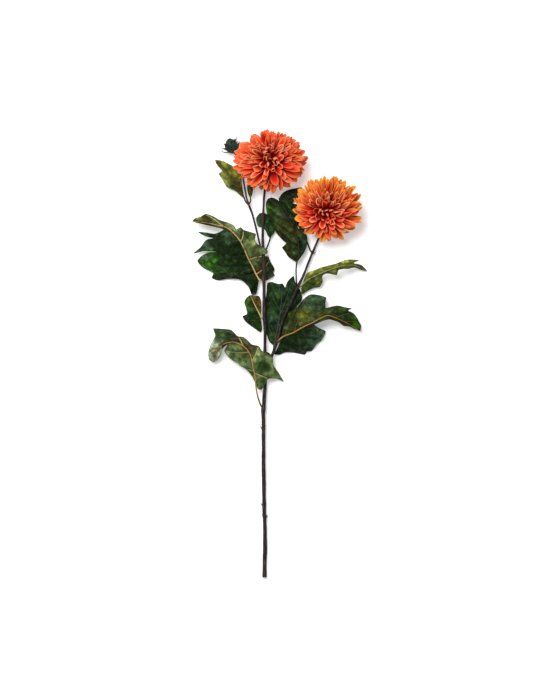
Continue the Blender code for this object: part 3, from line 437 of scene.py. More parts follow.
# %% The leaves' lines
LEAVES = {
    "leaf_mid_left": {
        "stem_point": (-1.0, 461, 16.4),
        "stalk": [(-5.4, 459.7, 14.6), (-8.5, 461.5, 13)],
        "rib": [(-8.5, 461.5, 13), (-14, 471, 15), (-19, 482, 19), (-25, 493, 25), (-31, 507, 33),
                (-37, 519, 40), (-44, 528, 43), (-52, 536, 43), (-60, 541, 40), (-72, 544, 35),
                (-90, 548, 28), (-112, 550.5, 20)],
        "left": [(-10, 452, 10), (-13.5, 438, 5), (-19.5, 437.5, 4), (-25, 450, 6),
                 (-37, 460.5, 8), (-57, 462, 5), (-73, 460, 2.4), (-82, 464, 0.6),
                 (-79, 471, 5), (-97, 481, 5), (-104, 490, 6), (-98, 497, 8),
                 (-86, 503, 11), (-73, 503.5, 16), (-92, 505, 12), (-110, 501.5, 8),
                 (-99, 511, 12), (-90, 522, 16), (-79, 524.5, 21), (-91, 527.5, 17),
                 (-103, 534.5, 13), (-88, 533, 20), (-75, 531.5, 27), (-63, 537.5, 34),
                 (-75, 541, 33), (-92, 545, 27), (-104, 548, 23)],
        "right": [(2, 459.5, 6), (10, 463.5, 5), (16, 468, 4),
                  (13.5, 472, 4.5), (15.5, 477, 4.5), (8.5, 490, 6.5),
                  (6, 497, 7.5), (-3, 496.5, 8.8), (-10, 494.5, 14.5),
                  (-4, 498.5, 20.4), (4, 501, 21), (5, 505, 21), (0, 510, 21),
                  (-9, 514, 23),
                  (-15, 522, 25), (-13, 531, 24), (-24, 534.5, 27), (-32, 537, 30),
                  (-37, 541, 32), (-43, 537, 37), (-48, 544, 37), (-56, 548, 36),
                  (-66, 551, 34), (-80, 558.5, 27), (-91, 562, 22), (-99, 557.5, 22),
                  (-107, 555.5, 19)],
        "doming": (0.022, 0.004),
        "veins": ([(0.2, 2), (1.0, 7), (1.9, 10), (3.4, 15), (5.2, 20), (7.4, 24)],
                  [(0.8, 5), (2.9, 11), (4.9, 17), (8.3, 24)]),
    },
    "leaf_small_left": {
        "stem_point": (0, 398, 13),
        "stalk": [(-4.2, 401.5, 14), (-6.5, 405.5, 15)],
        "rib": [(-6.5, 405.5, 15), (-11, 414, 18), (-16, 424, 19), (-22, 437, 16)],
        "left": [(-5.5, 398, 11), (-4, 384, 6), (-6, 379.5, 4), (-21, 389.5, 3),
                 (-31, 398, 4), (-34, 404, 5), (-27, 408, 9), (-28.5, 417, 11),
                 (-31, 425, 12), (-28.5, 432, 14)],
        "right": [(-5.4, 409, 17), (-5.0, 417, 18.5), (-5.2, 427, 19), (-8, 435, 18),
                  (-15, 436, 17.5)],
        "doming": (0.020, 0.016),
        "veins": ([(0.1, 2), (0.4, 5), (1.2, 8)],
                  [(0.6, 1), (1.5, 3)]),
    },
    "leaf_low_left": {
        "stem_point": (-1.7, 262, 8.8),
        "stalk": [(-5.6, 266, 10.5), (-9, 275, 14), (-12, 287, 18), (-13.5, 299, 21.5)],
        "rib": [(-13.5, 299, 21.5), (-15, 314, 26), (-18, 328, 30), (-22, 345, 34), (-30, 356, 36),
                (-38, 361, 37), (-47, 364, 36), (-55, 363.5, 33), (-63, 361, 29), (-70, 356, 24),
                (-76, 347, 18), (-80, 333, 11)],
        "left": [(-18.5, 310, 22), (-28, 322, 19), (-38, 328, 15), (-42, 331.5, 15),
                 (-51, 337, 12), (-58, 344, 13), (-62, 350.5, 14.5), (-59.5, 356, 22),
                 (-57, 360.5, 29), (-64.5, 354, 24), (-67, 345, 18), (-73, 336, 12)],
        "right": [(-10, 292, 17), (-5, 290.5, 15.5), (0.5, 299, 17), (5, 307, 17),
                  (14, 308, 13), (23, 306.5, 8), (29.5, 302.5, 5), (24, 313, 11),
                  (13.5, 330, 18), (12.5, 341, 17.5), (7, 347.5, 18), (-4, 350.5, 22),
                  (-9, 358, 22), (-20, 360.5, 27), (-26, 367, 26), (-33, 372, 25),
                  (-41, 373, 26), (-51, 382.5, 21), (-64, 384.5, 16), (-79.5, 385, 10),
                  (-76, 374, 18), (-82, 362, 18), (-87, 347, 14), (-85.5, 337, 11)],
        "doming": (0.024, 0.018),
        "veins": ([(1.4, 2), (3.3, 6), (8.6, 10)],
                  [(1.2, 6), (2.4, 12), (4.4, 16), (9.4, 22)]),
    },
    "leaf_low_back": {
        "stem_point": (11.6, 343, 11.2),
        "stalk": [(13.6, 349.5, 7.6), (14.6, 358, 6.2)],
        "rib": [(14.6, 358, 6.2), (18, 375, 5.2), (22.5, 398, 4.6), (25.5, 420, 4.2), (27, 438, 3.6),
                (28, 455, 2.6)],
        "left": [(7, 366, 5), (2, 384, 4), (-1, 404, 3.4), (0, 422, 3),
                 (3, 440, 2.6), (5, 456, 1.6), (10, 457.5, 1.8), (21, 454.5, 2.4)],
        "right": [(24, 365, 4.6), (34, 382, 4), (41, 399, 3.6), (47, 414, 3.4),
                  (58, 431, 2.6), (56, 443, 2.6), (48, 456, 2.4), (45, 467, 1.8),
                  (35.5, 458, 2), (32, 448.5, 3)],
        "doming": (0.004, 0.004),
        "veins": ([(0.3, 1), (0.9, 3), (1.7, 4), (2.6, 5), (3.8, 7)],
                  [(0.3, 1), (0.9, 3), (1.6, 4), (2.3, 7)]),
    },
    "leaf_low_right": {
        "stem_point": (18.4, 363, 10.9),
        "stalk": [(22.2, 366.8, 13.2), (26, 370.8, 15.6)],
        "rib": [(26, 370.8, 15.6), (33, 374.5, 19), (44, 378.5, 24), (52, 383, 27.5), (62, 388.5, 31),
                (75, 394.5, 34), (87, 401, 35), (97, 405, 33.5), (106, 403, 30.5), (118, 398, 25),
                (131, 391.5, 18), (148, 381.5, 9)],
        "left": [(27.5, 381, 16), (33, 396, 16), (37, 409, 16), (50, 417.5, 17),
                 (59, 429, 15), (70, 437.5, 11), (83, 437, 12), (95.5, 433, 12),
                 (94, 424, 19), (94.5, 416.5, 25), (104, 419, 25), (113, 420.5, 22),
                 (124, 418, 19), (135, 416, 15), (129, 413, 19), (137, 409, 16),
                 (143, 402, 14), (146, 396, 12), (149.5, 389.5, 9)],
        "right": [(20.5, 356, 4.6), (14.5, 345.5, 3), (22, 344.5, 2.6),
                  (33, 348.5, 3.6),
                  (48, 347.5, 2), (63, 345, 0.6), (65.5, 349.5, 3), (73, 350.5, 3),
                  (80, 360, 5), (88, 367, 6), (94.5, 381, 8), (84, 386, 16),
                  (77, 391, 28), (87, 395.5, 31), (99, 399, 31), (108, 397, 27),
                  (114, 395, 24), (122, 389.5, 19), (131, 388, 16), (140, 384, 12)],
        "doming": (0.022, 0.024),
        "veins": ([(0.8, 3), (2.2, 5), (4.9, 10), (8.2, 15), (9.4, 17)],
                  [(0.2, 2), (1.0, 5), (2.4, 9), (5.0, 13), (7.2, 16)]),
    },
    "leaf_mid_right": {
        "stem_point": (50.8, 448.4, 8.6),
        "stalk": [(56.4, 450.4, 10.9), (59.4, 453.6, 13)],
        "rib": [(59.4, 453.6, 13), (67, 460.5, 18), (79, 466.5, 24), (91, 472, 29), (103, 476.5, 31.5),
                (116, 480.5, 31), (129, 483, 26), (143, 481.5, 17.5), (159, 474, 1.2)],
        "left": [(60.5, 459.5, 15), (66, 471, 18.6), (75, 474.5, 22), (87, 479, 25),
                 (98, 482, 28), (110, 485, 28), (120, 489, 25), (129.5, 491.5, 22),
                 (146, 490.5, 13), (137.5, 486.2, 20.5), (149, 483.5, 12), (156, 478, 4)],
        "right": [(56.8, 447, 9.6), (57.3, 437, 6), (66, 443, 5), (76, 448, 6),
                  (85, 449.5, 7), (89.5, 457, 12), (89.8, 467, 20), (97, 470, 26),
                  (111.5, 467.5, 23), (114, 475, 28), (122, 477, 26), (129, 477, 22),
                  (138, 479.3, 18.5), (150, 475.6, 8)],
        "doming": (0.020, 0.024),
        "veins": ([(0.3, 1), (1.2, 3), (2.2, 5), (3.6, 8), (5.6, 10)],
                  [(0.1, 1), (0.5, 4), (1.2, 5), (2.2, 8), (4.3, 11)]),
    },
    "leaf_high_mid": {
        "stem_point": (51, 449.5, 8.6),
        "stalk": [(49.6, 453.8, 11.4), (49, 464, 14), (48.8, 476, 16.5), (50, 487, 18.5)],
        "rib": [(50, 487, 18.5), (52.5, 498, 21), (53, 511, 23), (50, 525, 24.5), (44.5, 540, 25.5),
                (37, 554, 25.5), (27, 568, 24), (16, 579, 21), (5, 585.5, 18)],
        "left": [(44, 491, 15), (37, 496, 12), (31, 505, 10), (27, 510.5, 9),
                 (34, 517, 13), (28, 522, 13), (19, 532, 13), (14, 540, 14),
                 (9, 549, 15), (5, 559, 16), (2.6, 569, 16.5), (2.4, 580, 17)],
        "right": [(55, 494, 17), (62, 504, 14), (66, 517, 12), (65.5, 528, 11.5),
                  (60, 538, 12), (55.5, 541.5, 13), (52, 539, 18), (49, 551, 16),
                  (43, 561, 16), (36, 570, 16), (27, 578, 16.5), (18, 585, 17),
                  (11, 587.5, 17)],
        "doming": (0.020, 0.020),
        "veins": ([(0.2, 3), (1.2, 5), (1.9, 7), (3.0, 9), (4.4, 10), (6.0, 11)],
                  [(0.4, 2), (1.2, 4), (2.4, 7), (3.6, 9), (5.0, 10)]),
    },
    "leaf_high_small": {
        "stem_point": (-2.0, 500, 15.4),
        "stalk": [(2.2, 506.5, 12.6), (6, 516, 10.4), (8.6, 525, 8.6)],
        "rib": [(8.6, 525, 8.6), (7.5, 533, 7.8), (3.5, 543, 7), (-1.5, 553, 6.4), (-8, 563.5, 5)],
        "left": [(5, 529, 7.6), (1.5, 537, 6.6), (-5, 542, 5.4), (-9.5, 543.5, 4.8),
                 (-12.5, 550, 4.2), (-12.6, 557, 4.2)],
        "right": [(12, 529, 7.6), (16, 535.5, 6.6), (14, 544, 6), (10, 553, 5.6),
                  (5, 561, 5.2), (-2, 565, 4.8)],
        "doming": (0.014, 0.014),
        "veins": ([(0.9, 3), (2.2, 5)],
                  [(0.4, 1), (1.2, 3), (2.4, 4)]),
    },
    "leaf_behind_bloom": {
        "stem_point": (74, 502, 6.8),
        "stalk": [(70.6, 506.8, 6.4), (66, 519, 5.6), (61, 533, 5)],
        "rib": [(61, 533, 5), (56, 547, 4.8), (50, 561, 5), (43, 575, 5.4), (33, 587, 5.2),
                (21.5, 586, 4)],
        "left": [(54, 541, 3.6), (47, 550, 3.2), (41, 559, 3.2), (35, 567, 3.4),
                 (29, 574, 3.6), (24, 579.5, 3.8)],
        "right": [(64, 546, 3.6), (66, 557, 3), (60, 568, 3), (52, 577, 3.6),
                  (43.5, 579, 4.8), (48, 584, 4), (57, 594, 2), (58, 604, 0.6),
                  (48, 602.5, 3), (37, 600, 3.4), (28, 595, 3.6)],
        "doming": (0.008, 0.008),
        "veins": ([(0.5, 1), (1.3, 3), (2.4, 4)],
                  [(0.5, 1), (1.3, 2), (3.5, 7), (4.2, 9)]),
    },
    "leaf_high_left": {
        "stem_point": (-24.2, 576, 12.5),
        "stalk": [(-28.6, 580.6, 13.6), (-31.4, 586.6, 15)],
        "rib": [(-31.4, 586.6, 15), (-36, 598, 18), (-43, 609, 20), (-52, 620, 20), (-62, 631.5, 17),
                (-76.5, 646, 10)],
        "left": [(-37, 590.5, 13), (-45, 598, 11), (-58, 604, 7), (-64, 614, 5),
                 (-71, 625, 0.6), (-65, 629.5, 11), (-70, 634.5, 10), (-75, 641, 9)],
        "right": [(-32.8, 595.5, 17.5), (-34.5, 605, 18.5), (-35.5, 616, 19),
                  (-37, 627, 18), (-46, 634, 17), (-56, 640, 15), (-67, 645, 12)],
        "doming": (0.018, 0.016),
        "veins": ([(0.7, 2), (1.5, 4), (3.0, 6)],
                  [(0.6, 1), (1.3, 3), (2.4, 5)]),
    },
    "bract_high_left": {
        "stem_point": (-24.6, 577, 12.5),
        "stalk": [(-21.6, 581.6, 14.2), (-21.8, 586.6, 15.2)],
        "rib": [(-21.8, 586.6, 15.2), (-22.4, 598, 17), (-22.2, 610, 17), (-21.6, 622, 15)],
        "left": [(-24.4, 591, 14.8), (-27, 601, 15.6), (-26, 612, 15.8)],
        "right": [(-19.6, 591, 14.8), (-17.4, 601, 15.6), (-17.6, 612, 15.6)],
        "doming": (0.020, 0.020),
        "veins": ([(0.6, 1)],
                  [(0.6, 1)]),
    },
}

# %% [markdown]
# ## From an outline to a blade
# A plane cut out by hand would give a flat leaf, and a subdivided grid would have steps along its lobes. So
# each half of the blade is filled with even triangles inside its own outline (a Delaunay triangulation),
# with rows of points along every vein. Its heights come from the two lines that hold it, the midrib and the
# edge, as on a stretched cloth, with a slight push upwards that domes it. Between its veins a real blade
# puffs up a little, so points far from a vein are raised and the veins lie in furrows.

# %% How finely a blade is made, and its relief, in millimetres
# Between its points, between those of its veins and outline, and the least between any two.
BLADE_SPACING, LINE_SPACING, POINT_GAP = 2.3, 2.0, 0.5
BLADE_THICKNESS = 0.55
# How far the blade puffs up, how far from a vein it is fully puffed, and which share of that sinks the veins.
PUFF, PUFF_WIDTH, SUNK = 1.8, 3.6, 0.35
# How far the edge waves up and down, how long one wave is, and the height that no wave goes under.
RUFFLE, RUFFLE_LENGTH, LOWEST_EDGE = 1.3, 17, 0.6
FOLDS = 1.5
# Over how many millimetres puffs and folds fade out at the edge and at the midrib.
EDGE_FADE, RIB_FADE = 4, 3
# Up to where a point knows its distance from a vein, and how far from the midrib a half has its full colour.
FAR, FULL_COLOUR = 6.0, 2.0


def inside(outline, places):
    """Which places lie inside an outline seen from above."""
    x, y = places[:, :1], places[:, 1:]
    a, b = outline, np.roll(outline, -1, axis=0)
    rise = np.where(b[:, 1] == a[:, 1], 1e-9, b[:, 1] - a[:, 1])
    crossed = ((a[:, 1] > y) != (b[:, 1] > y)) & (x < a[:, 0] + (y - a[:, 1]) * (b[:, 0] - a[:, 0]) / rise)
    return crossed.sum(axis=1) % 2 == 1


def distance_to(line, places):
    """How far each place lies from a line of points, seen from above."""
    start, along = line[:-1], np.diff(line, axis=0)
    to_places = places[:, None] - start
    share = np.clip((to_places * along).sum(axis=2) / np.maximum((along ** 2).sum(axis=1), 1e-9), 0, 1)
    return np.linalg.norm(to_places - share[..., None] * along, axis=2).min(axis=1)


# %% [markdown]
# ## Edges with pointed lobes
# A curve through all edge points would round off the lobes, and straight lines would leave corners in the
# bays between them. So the curve slows down where the edge turns sharply: that keeps the tips pointed.

# %% The edge of one half of a blade
def edge_line(points, spacing):
    """A curve through the edge's points that keeps its sharp turns."""
    points = np.asarray(points, dtype=float)
    steps = np.diff(points, axis=0)
    lengths = np.linalg.norm(steps, axis=1)
    ways = steps / lengths[:, None]
    turns = [1.0] + [float(a @ b) for a, b in zip(ways[:-1], ways[1:])] + [1.0]
    slopes = [ways[0]] + [unit(a + b + 1e-6) for a, b in zip(ways[:-1], ways[1:])] + [ways[-1]]
    # Straight on, the curve goes through a point at full speed, and round the sharpest turn at 0.15 of it.
    softness = [min(1.0, max(0.15, 0.25 + 0.75 * turn)) for turn in turns]
    line = []
    for k, length in enumerate(lengths):
        start, end = slopes[k] * softness[k] * length, slopes[k + 1] * softness[k + 1] * length
        for t in np.arange(0, 1, 1 / max(1, round(length / spacing))):
            line.append((2 * t ** 3 - 3 * t ** 2 + 1) * points[k] + (t ** 3 - 2 * t ** 2 + t) * start
                        + (3 * t ** 2 - 2 * t ** 3) * points[k + 1] + (t ** 3 - t ** 2) * end)
    return np.array(line + [points[-1]])


# %% [markdown]
# ## Veins that stay in their leaf
# A side vein leaves the midrib at an angle and bends towards the leaf's tip. Where its straight way would cut
# across a bay it ends there, because a vein never leaves the blade.

# %% The side veins of one half
# A vein bends by a share of its length, stops at a share of it, waves a little, and keeps off the edge.
VEIN_BEND, VEIN_REACH, VEIN_WAVE, OFF_EDGE = 0.10, 0.94, 0.9, 0.6


def vein_lines(leaf, side, outline):
    """Each side vein as a row of places seen from above."""
    ring = np.vstack([outline, outline[:1]])
    veins = []
    for place, target in leaf["veins"][0 if side == "left" else 1]:
        start, ahead = read_curve(leaf["rib"], (place, min(place + 0.2, len(leaf["rib"]) - 1)))[:, :2]
        end = np.array(leaf[side][target][:2], dtype=float)
        way, length = unit(ahead - start), np.linalg.norm(end - start)
        bend = 0.5 * (start + end) - VEIN_BEND * length * way
        count = max(3, int(length / LINE_SPACING))
        t = np.linspace(0, VEIN_REACH, count)[:, None]
        line = (1 - t) ** 2 * start + 2 * t * (1 - t) * bend + t * t * end
        line = line + VEIN_WAVE * np.sin(9 * t) * t * way
        wanted = inside(outline, line) & (distance_to(ring, line) > OFF_EDGE)
        kept = line[:next((k for k in range(2, count) if not wanted[k]), count)]
        if len(kept) > 2:
            veins.append(kept)
    return veins


# %% Points inside one half: rows along its veins, and a honeycomb between them
# The rows of a honeycomb of even triangles lie closer together than the points in them, by this share.
ROW_SHARE = 0.866


def fill_places(outline, veins):
    ring = np.vstack([outline, outline[:1]])
    low, high = outline.min(axis=0), outline.max(axis=0)
    rows = np.arange(low[1], high[1], ROW_SHARE * BLADE_SPACING)
    grid = np.array([(x + 0.5 * BLADE_SPACING * (n % 2), y) for n, y in enumerate(rows)
                     for x in np.arange(low[0], high[0], BLADE_SPACING)])
    grid = grid[inside(outline, grid)]
    grid = grid[distance_to(ring, grid) > 0.5 * BLADE_SPACING]
    kept = []
    for vein in veins:
        row = vein[1:]
        row = row[distance_to(ring, row) > POINT_GAP]
        for other in kept:
            row = row[np.linalg.norm(row[:, None] - other, axis=2).min(axis=1) > POINT_GAP] if len(row) else row
        if len(row):
            kept.append(row)
    for row in kept:
        grid = grid[np.linalg.norm(grid[:, None] - row, axis=2).min(axis=1) > 0.55 * BLADE_SPACING]
    return np.vstack(kept + [grid]) if kept else grid


# %% Triangles between the points of one half
def fill_half(outline, places):
    """Points seen from above, the number that each had in the outline or after it, and their triangles."""
    result = delaunay_2d_cdt([Vector(p) for p in outline] + [Vector(p) for p in places], [],
                             [list(range(len(outline)))], 1, 1e-6)
    flat = np.array([tuple(v) for v in result[0]])
    source = np.array([min(o) if o else -1 for o in result[3]])
    # The outline's own points come first and in their order, because their heights are held.
    order = np.argsort(np.where((source >= 0) & (source < len(outline)), source, len(outline)), kind="stable")
    back = np.empty(len(order), dtype=int)
    back[order] = np.arange(len(order))
    triangles = np.array([[back[n] for n in face] for face in result[2] if len(face) == 3])
    return flat[order], source[order], triangles


# %% Heights of a cloth held along its outline
def stretch_over(flat, triangles, held, doming):
    """Heights of a sheet whose first points are held and whose others hang free and dome upwards."""
    count = len(flat)
    pull, lift = np.zeros((count, count)), np.zeros(count)
    for k in range(3):
        a, b, c = triangles[:, k], triangles[:, (k + 1) % 3], triangles[:, (k + 2) % 3]
        to_a, to_b = flat[a] - flat[c], flat[b] - flat[c]
        area = np.maximum(np.abs(to_a[:, 0] * to_b[:, 1] - to_a[:, 1] * to_b[:, 0]), 1e-6)
        weight = 0.5 * (to_a * to_b).sum(axis=1) / area
        for row, column, sign in ((a, b, -1), (b, a, -1), (a, a, 1), (b, b, 1)):
            np.add.at(pull, (row, column), sign * weight)
        np.add.at(lift, a, doming * area / 6)
    n = len(held)
    pull[range(n, count), range(n, count)] += 1e-9
    return np.concatenate([held, np.linalg.solve(pull[n:, n:], lift[n:] - pull[n:, :n] @ held)])


# %% The relief between the veins
def relief(flat, from_rib, from_vein, from_edge, shift):
    """Heights that puff and fold a blade between its veins, and fade out towards its midrib and edge."""
    fade = smooth_step(from_edge, 0, EDGE_FADE) * smooth_step(from_rib, 0, RIB_FADE)
    puff = smooth_step(np.minimum(from_vein, 0.6 * from_rib), 0, PUFF_WIDTH) - SUNK
    # The folds are where two waves meet: one keeps to the midrib, the other runs slantwise over the blade.
    folds = np.sin(from_rib / 2.9 + 0.11 * flat[:, 1]) * np.sin(0.23 * flat[:, 0] + 0.31 * flat[:, 1] + shift)
    return fade * (PUFF * puff + FOLDS * folds)


# %% [markdown]
# ## One half at a time
# The two halves share the midrib's points, so they meet there without a seam. Each point also learns how far
# it lies from the midrib and from the nearest side vein, which the leaf's finish reads later.

# %% Build one leaf blade as a single sheet
def make_blade(name, leaf):
    rib = read_curve(leaf["rib"], even_places(leaf["rib"], LINE_SPACING))
    feet = read_curve(leaf["rib"], [place for side_veins in leaf["veins"] for place, _ in side_veins])
    from_feet = np.linalg.norm(rib[:, None] - feet, axis=2).min(axis=1)
    points, triangles, total = [rib], [], len(rib)
    values = {"rib_distance": [np.zeros(total)], "vein_distance": [np.minimum(from_feet, FAR)],
              "side": [np.zeros(total)]}
    # The waves of each leaf start elsewhere.
    shift = len(name)
    for side, sign, doming in zip(("left", "right"), (-1.0, 1.0), leaf["doming"]):
        edge = edge_line([leaf["rib"][0]] + leaf[side] + [leaf["rib"][-1]], LINE_SPACING)[1:-1]
        walked = np.concatenate([[0], np.cumsum(np.linalg.norm(np.diff(edge, axis=0), axis=1))])
        ruffle = RUFFLE * np.sin(walked * 2 * math.pi / RUFFLE_LENGTH + shift) * smooth_step(walked, 0, 12)
        edge[:, 2] = np.maximum(edge[:, 2] + ruffle, np.minimum(edge[:, 2], LOWEST_EDGE))
        outline = np.vstack([rib[:, :2], edge[::-1, :2]])
        veins = vein_lines(leaf, side, outline)
        flat, source, half = fill_half(outline, fill_places(outline, veins))
        held = np.concatenate([rib[:, 2], edge[::-1, 2]])[source[(source >= 0) & (source < len(outline))]]
        from_rib = distance_to(rib[:, :2], flat)
        from_vein = np.min([distance_to(vein, flat) for vein in veins] + [np.full(len(flat), FAR)], axis=0)
        heights = stretch_over(flat, half, held, doming) \
            + relief(flat, from_rib, from_vein, distance_to(edge[:, :2], flat), shift)
        # The midrib's points are there already, so only the others are added, with new numbers.
        free = (source < 0) | (source >= len(rib))
        source[free] = total + np.arange(free.sum())
        total += int(free.sum())
        triangles.append(source[half])
        points.append(np.column_stack([flat, heights])[free])
        values["rib_distance"].append(from_rib[free])
        values["vein_distance"].append(from_vein[free])
        values["side"].append(np.clip(sign * from_rib / FULL_COLOUR, -1, 1)[free])
    mesh = bpy.data.meshes.new(name)
    mesh.from_pydata(to_scene(np.vstack(points)).tolist(), [], np.vstack(triangles).tolist())
    set_values(mesh, midrib=0.0, along=0.0, **{key: np.concatenate(parts) for key, parts in values.items()})
    blade = add_object(name, mesh)
    select_only(blade)
    bpy.ops.object.shade_smooth()
    thicken(blade, BLADE_THICKNESS)
    return blade


# %% The stalk and midrib, one tapering rod
STALK_RADIUS, MIDRIB_TAPER = 1.25, 0.95


def make_midrib(name, leaf):
    line = [leaf["stem_point"]] + leaf["stalk"] + leaf["rib"][1:]
    places = even_places(line, LINE_SPACING)
    path = read_curve(line, places)
    foot = len(leaf["stalk"])
    share = np.clip((places - foot) / (len(line) - 1 - foot), 0, 1)
    item = rod(name + "_rib", path, STALK_RADIUS - MIDRIB_TAPER * share ** 0.8)
    centres = to_scene(path)
    nearest = np.argmin(((points_of(item.data)[:, None] - centres) ** 2).sum(axis=2), axis=1)
    set_values(item.data, rib_distance=0.0, vein_distance=FAR, side=0.0,
               midrib=1 - 0.5 * share[nearest], along=np.clip(1 - places[nearest] / foot, 0, 1))
    return item


# %% [markdown]
# ## What a leaf's finish is
# A leaf is a waxy deep green, mottled, with paler veins and a fine net between them. Some halves catch more sun
# or turn their pale back outwards, so each half has its own green, and a few soft patches lie on top: the leaf's
# own stains, painted shade in its folds and valleys, and painted sheen. Painted shade also darkens the crumples'
# hollows, the furrows by the veins and the groove beside the midrib, and painted highlights and sheen lie on the
# crumples' ridges and the sharp folds. All of this follows the blade's own values, so it stays on the leaf from
# any side. One finish covers both faces.

# %% Colours as they look on a screen
def tint(red, green, blue):
    """A colour given as 0 to 255 on a screen, as the linear light that shaders reckon in."""
    return tuple(c / 255 / 12.92 if c < 11 else ((c / 255 + 0.055) / 1.055) ** 2.4 for c in (red, green, blue))


CREAM, TAN, RUST, PLUM_AND_SHADE = tint(200, 182, 116), tint(162, 132, 74), tint(78, 40, 6), tint(46, 22, 18)
DEEP_GREEN, LEAF_GREEN_AND_SHADE, GRASS_GREEN = tint(13, 34, 6), tint(24, 52, 8), tint(46, 92, 6)
GREY_GREEN_AND_SHEEN, SILVER_GREEN, TEAL_GREEN = tint(52, 78, 54), tint(172, 182, 160), tint(20, 50, 32)
OLIVE, YELLOW_GREEN, PALE_GREEN = tint(80, 84, 18), tint(130, 134, 50), tint(102, 120, 74)
BROWN_GREEN_AND_SHADE, SAGE, SHEEN = tint(42, 46, 8), tint(136, 148, 98), tint(84, 96, 76)

# Each leaf's left and right half, the veins in each, its midrib, its slot, and its patches: x, y, reach, colour.
# Some patches are the leaf's own stains; the plum ones and some darker green and brown ones are painted shade in
# folds and valleys, and the grey-green ones on dark halves are painted sheen.
LEAF_LOOKS = {
    "leaf_mid_left": (DEEP_GREEN, SAGE, LEAF_GREEN_AND_SHADE, CREAM, CREAM, "leaf_dark", [
        (-88, 486, 30, GRASS_GREEN), (-64, 478, 24, LEAF_GREEN_AND_SHADE), (-98, 506, 22, GREY_GREEN_AND_SHEEN),
        (-98, 531, 24, GREY_GREEN_AND_SHEEN), (-52, 526, 14, GREY_GREEN_AND_SHEEN), (10, 470, 40, DEEP_GREEN),
        (2, 482, 26, DEEP_GREEN), (0, 520, 18, LEAF_GREEN_AND_SHADE), (-30, 530, 21, LEAF_GREEN_AND_SHADE),
        (-14, 504, 14, BROWN_GREEN_AND_SHADE), (-16, 546, 14, LEAF_GREEN_AND_SHADE), (-95, 556, 30, OLIVE),
        (-82, 564, 16, BROWN_GREEN_AND_SHADE), (-72, 542, 12, PALE_GREEN), (-91, 556, 8, RUST),
        (-86, 546, 14, LEAF_GREEN_AND_SHADE), (-62, 553, 12, PLUM_AND_SHADE), (-9, 470, 12, RUST)]),
    "leaf_small_left": (LEAF_GREEN_AND_SHADE, OLIVE, LEAF_GREEN_AND_SHADE, OLIVE, CREAM, "leaf_dark", [
        (-33, 422, 16, GRASS_GREEN), (-10, 426, 13, RUST), (-26, 394, 18, DEEP_GREEN)]),
    "leaf_low_left": (PALE_GREEN, PALE_GREEN, SAGE, CREAM, TAN, "leaf_olive", [
        (-66, 377, 30, LEAF_GREEN_AND_SHADE), (-54, 374, 16, DEEP_GREEN), (-84, 346, 32, SILVER_GREEN),
        (-80, 342, 26, SILVER_GREEN), (-86, 344, 28, SILVER_GREEN), (-62, 358, 10, PLUM_AND_SHADE),
        (2, 300, 20, LEAF_GREEN_AND_SHADE), (-42, 370, 14, PLUM_AND_SHADE), (-22, 356, 14, PLUM_AND_SHADE), (-32, 346, 14, OLIVE),
        (24, 322, 14, LEAF_GREEN_AND_SHADE), (-2, 326, 16, LEAF_GREEN_AND_SHADE), (-30, 318, 14, LEAF_GREEN_AND_SHADE),
        (6, 350, 14, BROWN_GREEN_AND_SHADE)]),
    "leaf_low_back": (LEAF_GREEN_AND_SHADE, DEEP_GREEN, GREY_GREEN_AND_SHEEN, GREY_GREEN_AND_SHEEN, GREY_GREEN_AND_SHEEN, "leaf_dark", [
        (11, 392, 16, TEAL_GREEN), (24, 442, 20, LEAF_GREEN_AND_SHADE)]),
    "leaf_low_right": (BROWN_GREEN_AND_SHADE, DEEP_GREEN, OLIVE, LEAF_GREEN_AND_SHADE, TAN, "leaf_dark", [
        (74, 430, 28, GREY_GREEN_AND_SHEEN), (92, 422, 16, TEAL_GREEN), (62, 404, 16, OLIVE), (90, 404, 12, OLIVE),
        (136, 402, 56, LEAF_GREEN_AND_SHADE), (150, 388, 20, GRASS_GREEN), (82, 368, 26, GREY_GREEN_AND_SHEEN)]),
    "leaf_mid_right": (YELLOW_GREEN, YELLOW_GREEN, OLIVE, OLIVE, SAGE, "leaf_olive", [
        (72, 446, 26, LEAF_GREEN_AND_SHADE), (150, 488, 14, DEEP_GREEN), (96, 482, 14, OLIVE), (116, 472, 9, DEEP_GREEN)]),
    "leaf_high_mid": (BROWN_GREEN_AND_SHADE, DEEP_GREEN, BROWN_GREEN_AND_SHADE, LEAF_GREEN_AND_SHADE, BROWN_GREEN_AND_SHADE, "leaf_dark", [
        (10, 560, 24, LEAF_GREEN_AND_SHADE), (4, 568, 12, GRASS_GREEN), (42, 532, 34, BROWN_GREEN_AND_SHADE), (62, 510, 24, TEAL_GREEN)]),
    "leaf_high_small": (GREY_GREEN_AND_SHEEN, LEAF_GREEN_AND_SHADE, GREY_GREEN_AND_SHEEN, GREY_GREEN_AND_SHEEN, DEEP_GREEN, "leaf_dark", []),
    "leaf_behind_bloom": (LEAF_GREEN_AND_SHADE, DEEP_GREEN, GREY_GREEN_AND_SHEEN, GREY_GREEN_AND_SHEEN, LEAF_GREEN_AND_SHADE, "leaf_dark", []),
    "leaf_high_left": (YELLOW_GREEN, YELLOW_GREEN, OLIVE, OLIVE, RUST, "leaf_olive", [
        (-44, 604, 16, BROWN_GREEN_AND_SHADE), (-72, 632, 9, BROWN_GREEN_AND_SHADE), (-50, 590, 14, TAN), (-26, 586, 14, BROWN_GREEN_AND_SHADE)]),
    "bract_high_left": (BROWN_GREEN_AND_SHADE, BROWN_GREEN_AND_SHADE, OLIVE, OLIVE, OLIVE, "leaf_olive", []),
}


# %% The leaf finish
def soft_patch(place, mottle, x, y, reach):
    """A soft uneven patch round a place on the spray, seen from above."""
    away = place.stretched(1, 1, 0).distance((x, y, 0))
    return (away + (mottle - 0.5) * (0.9 * reach * MM)).step(reach * MM, 0.3 * reach * MM)


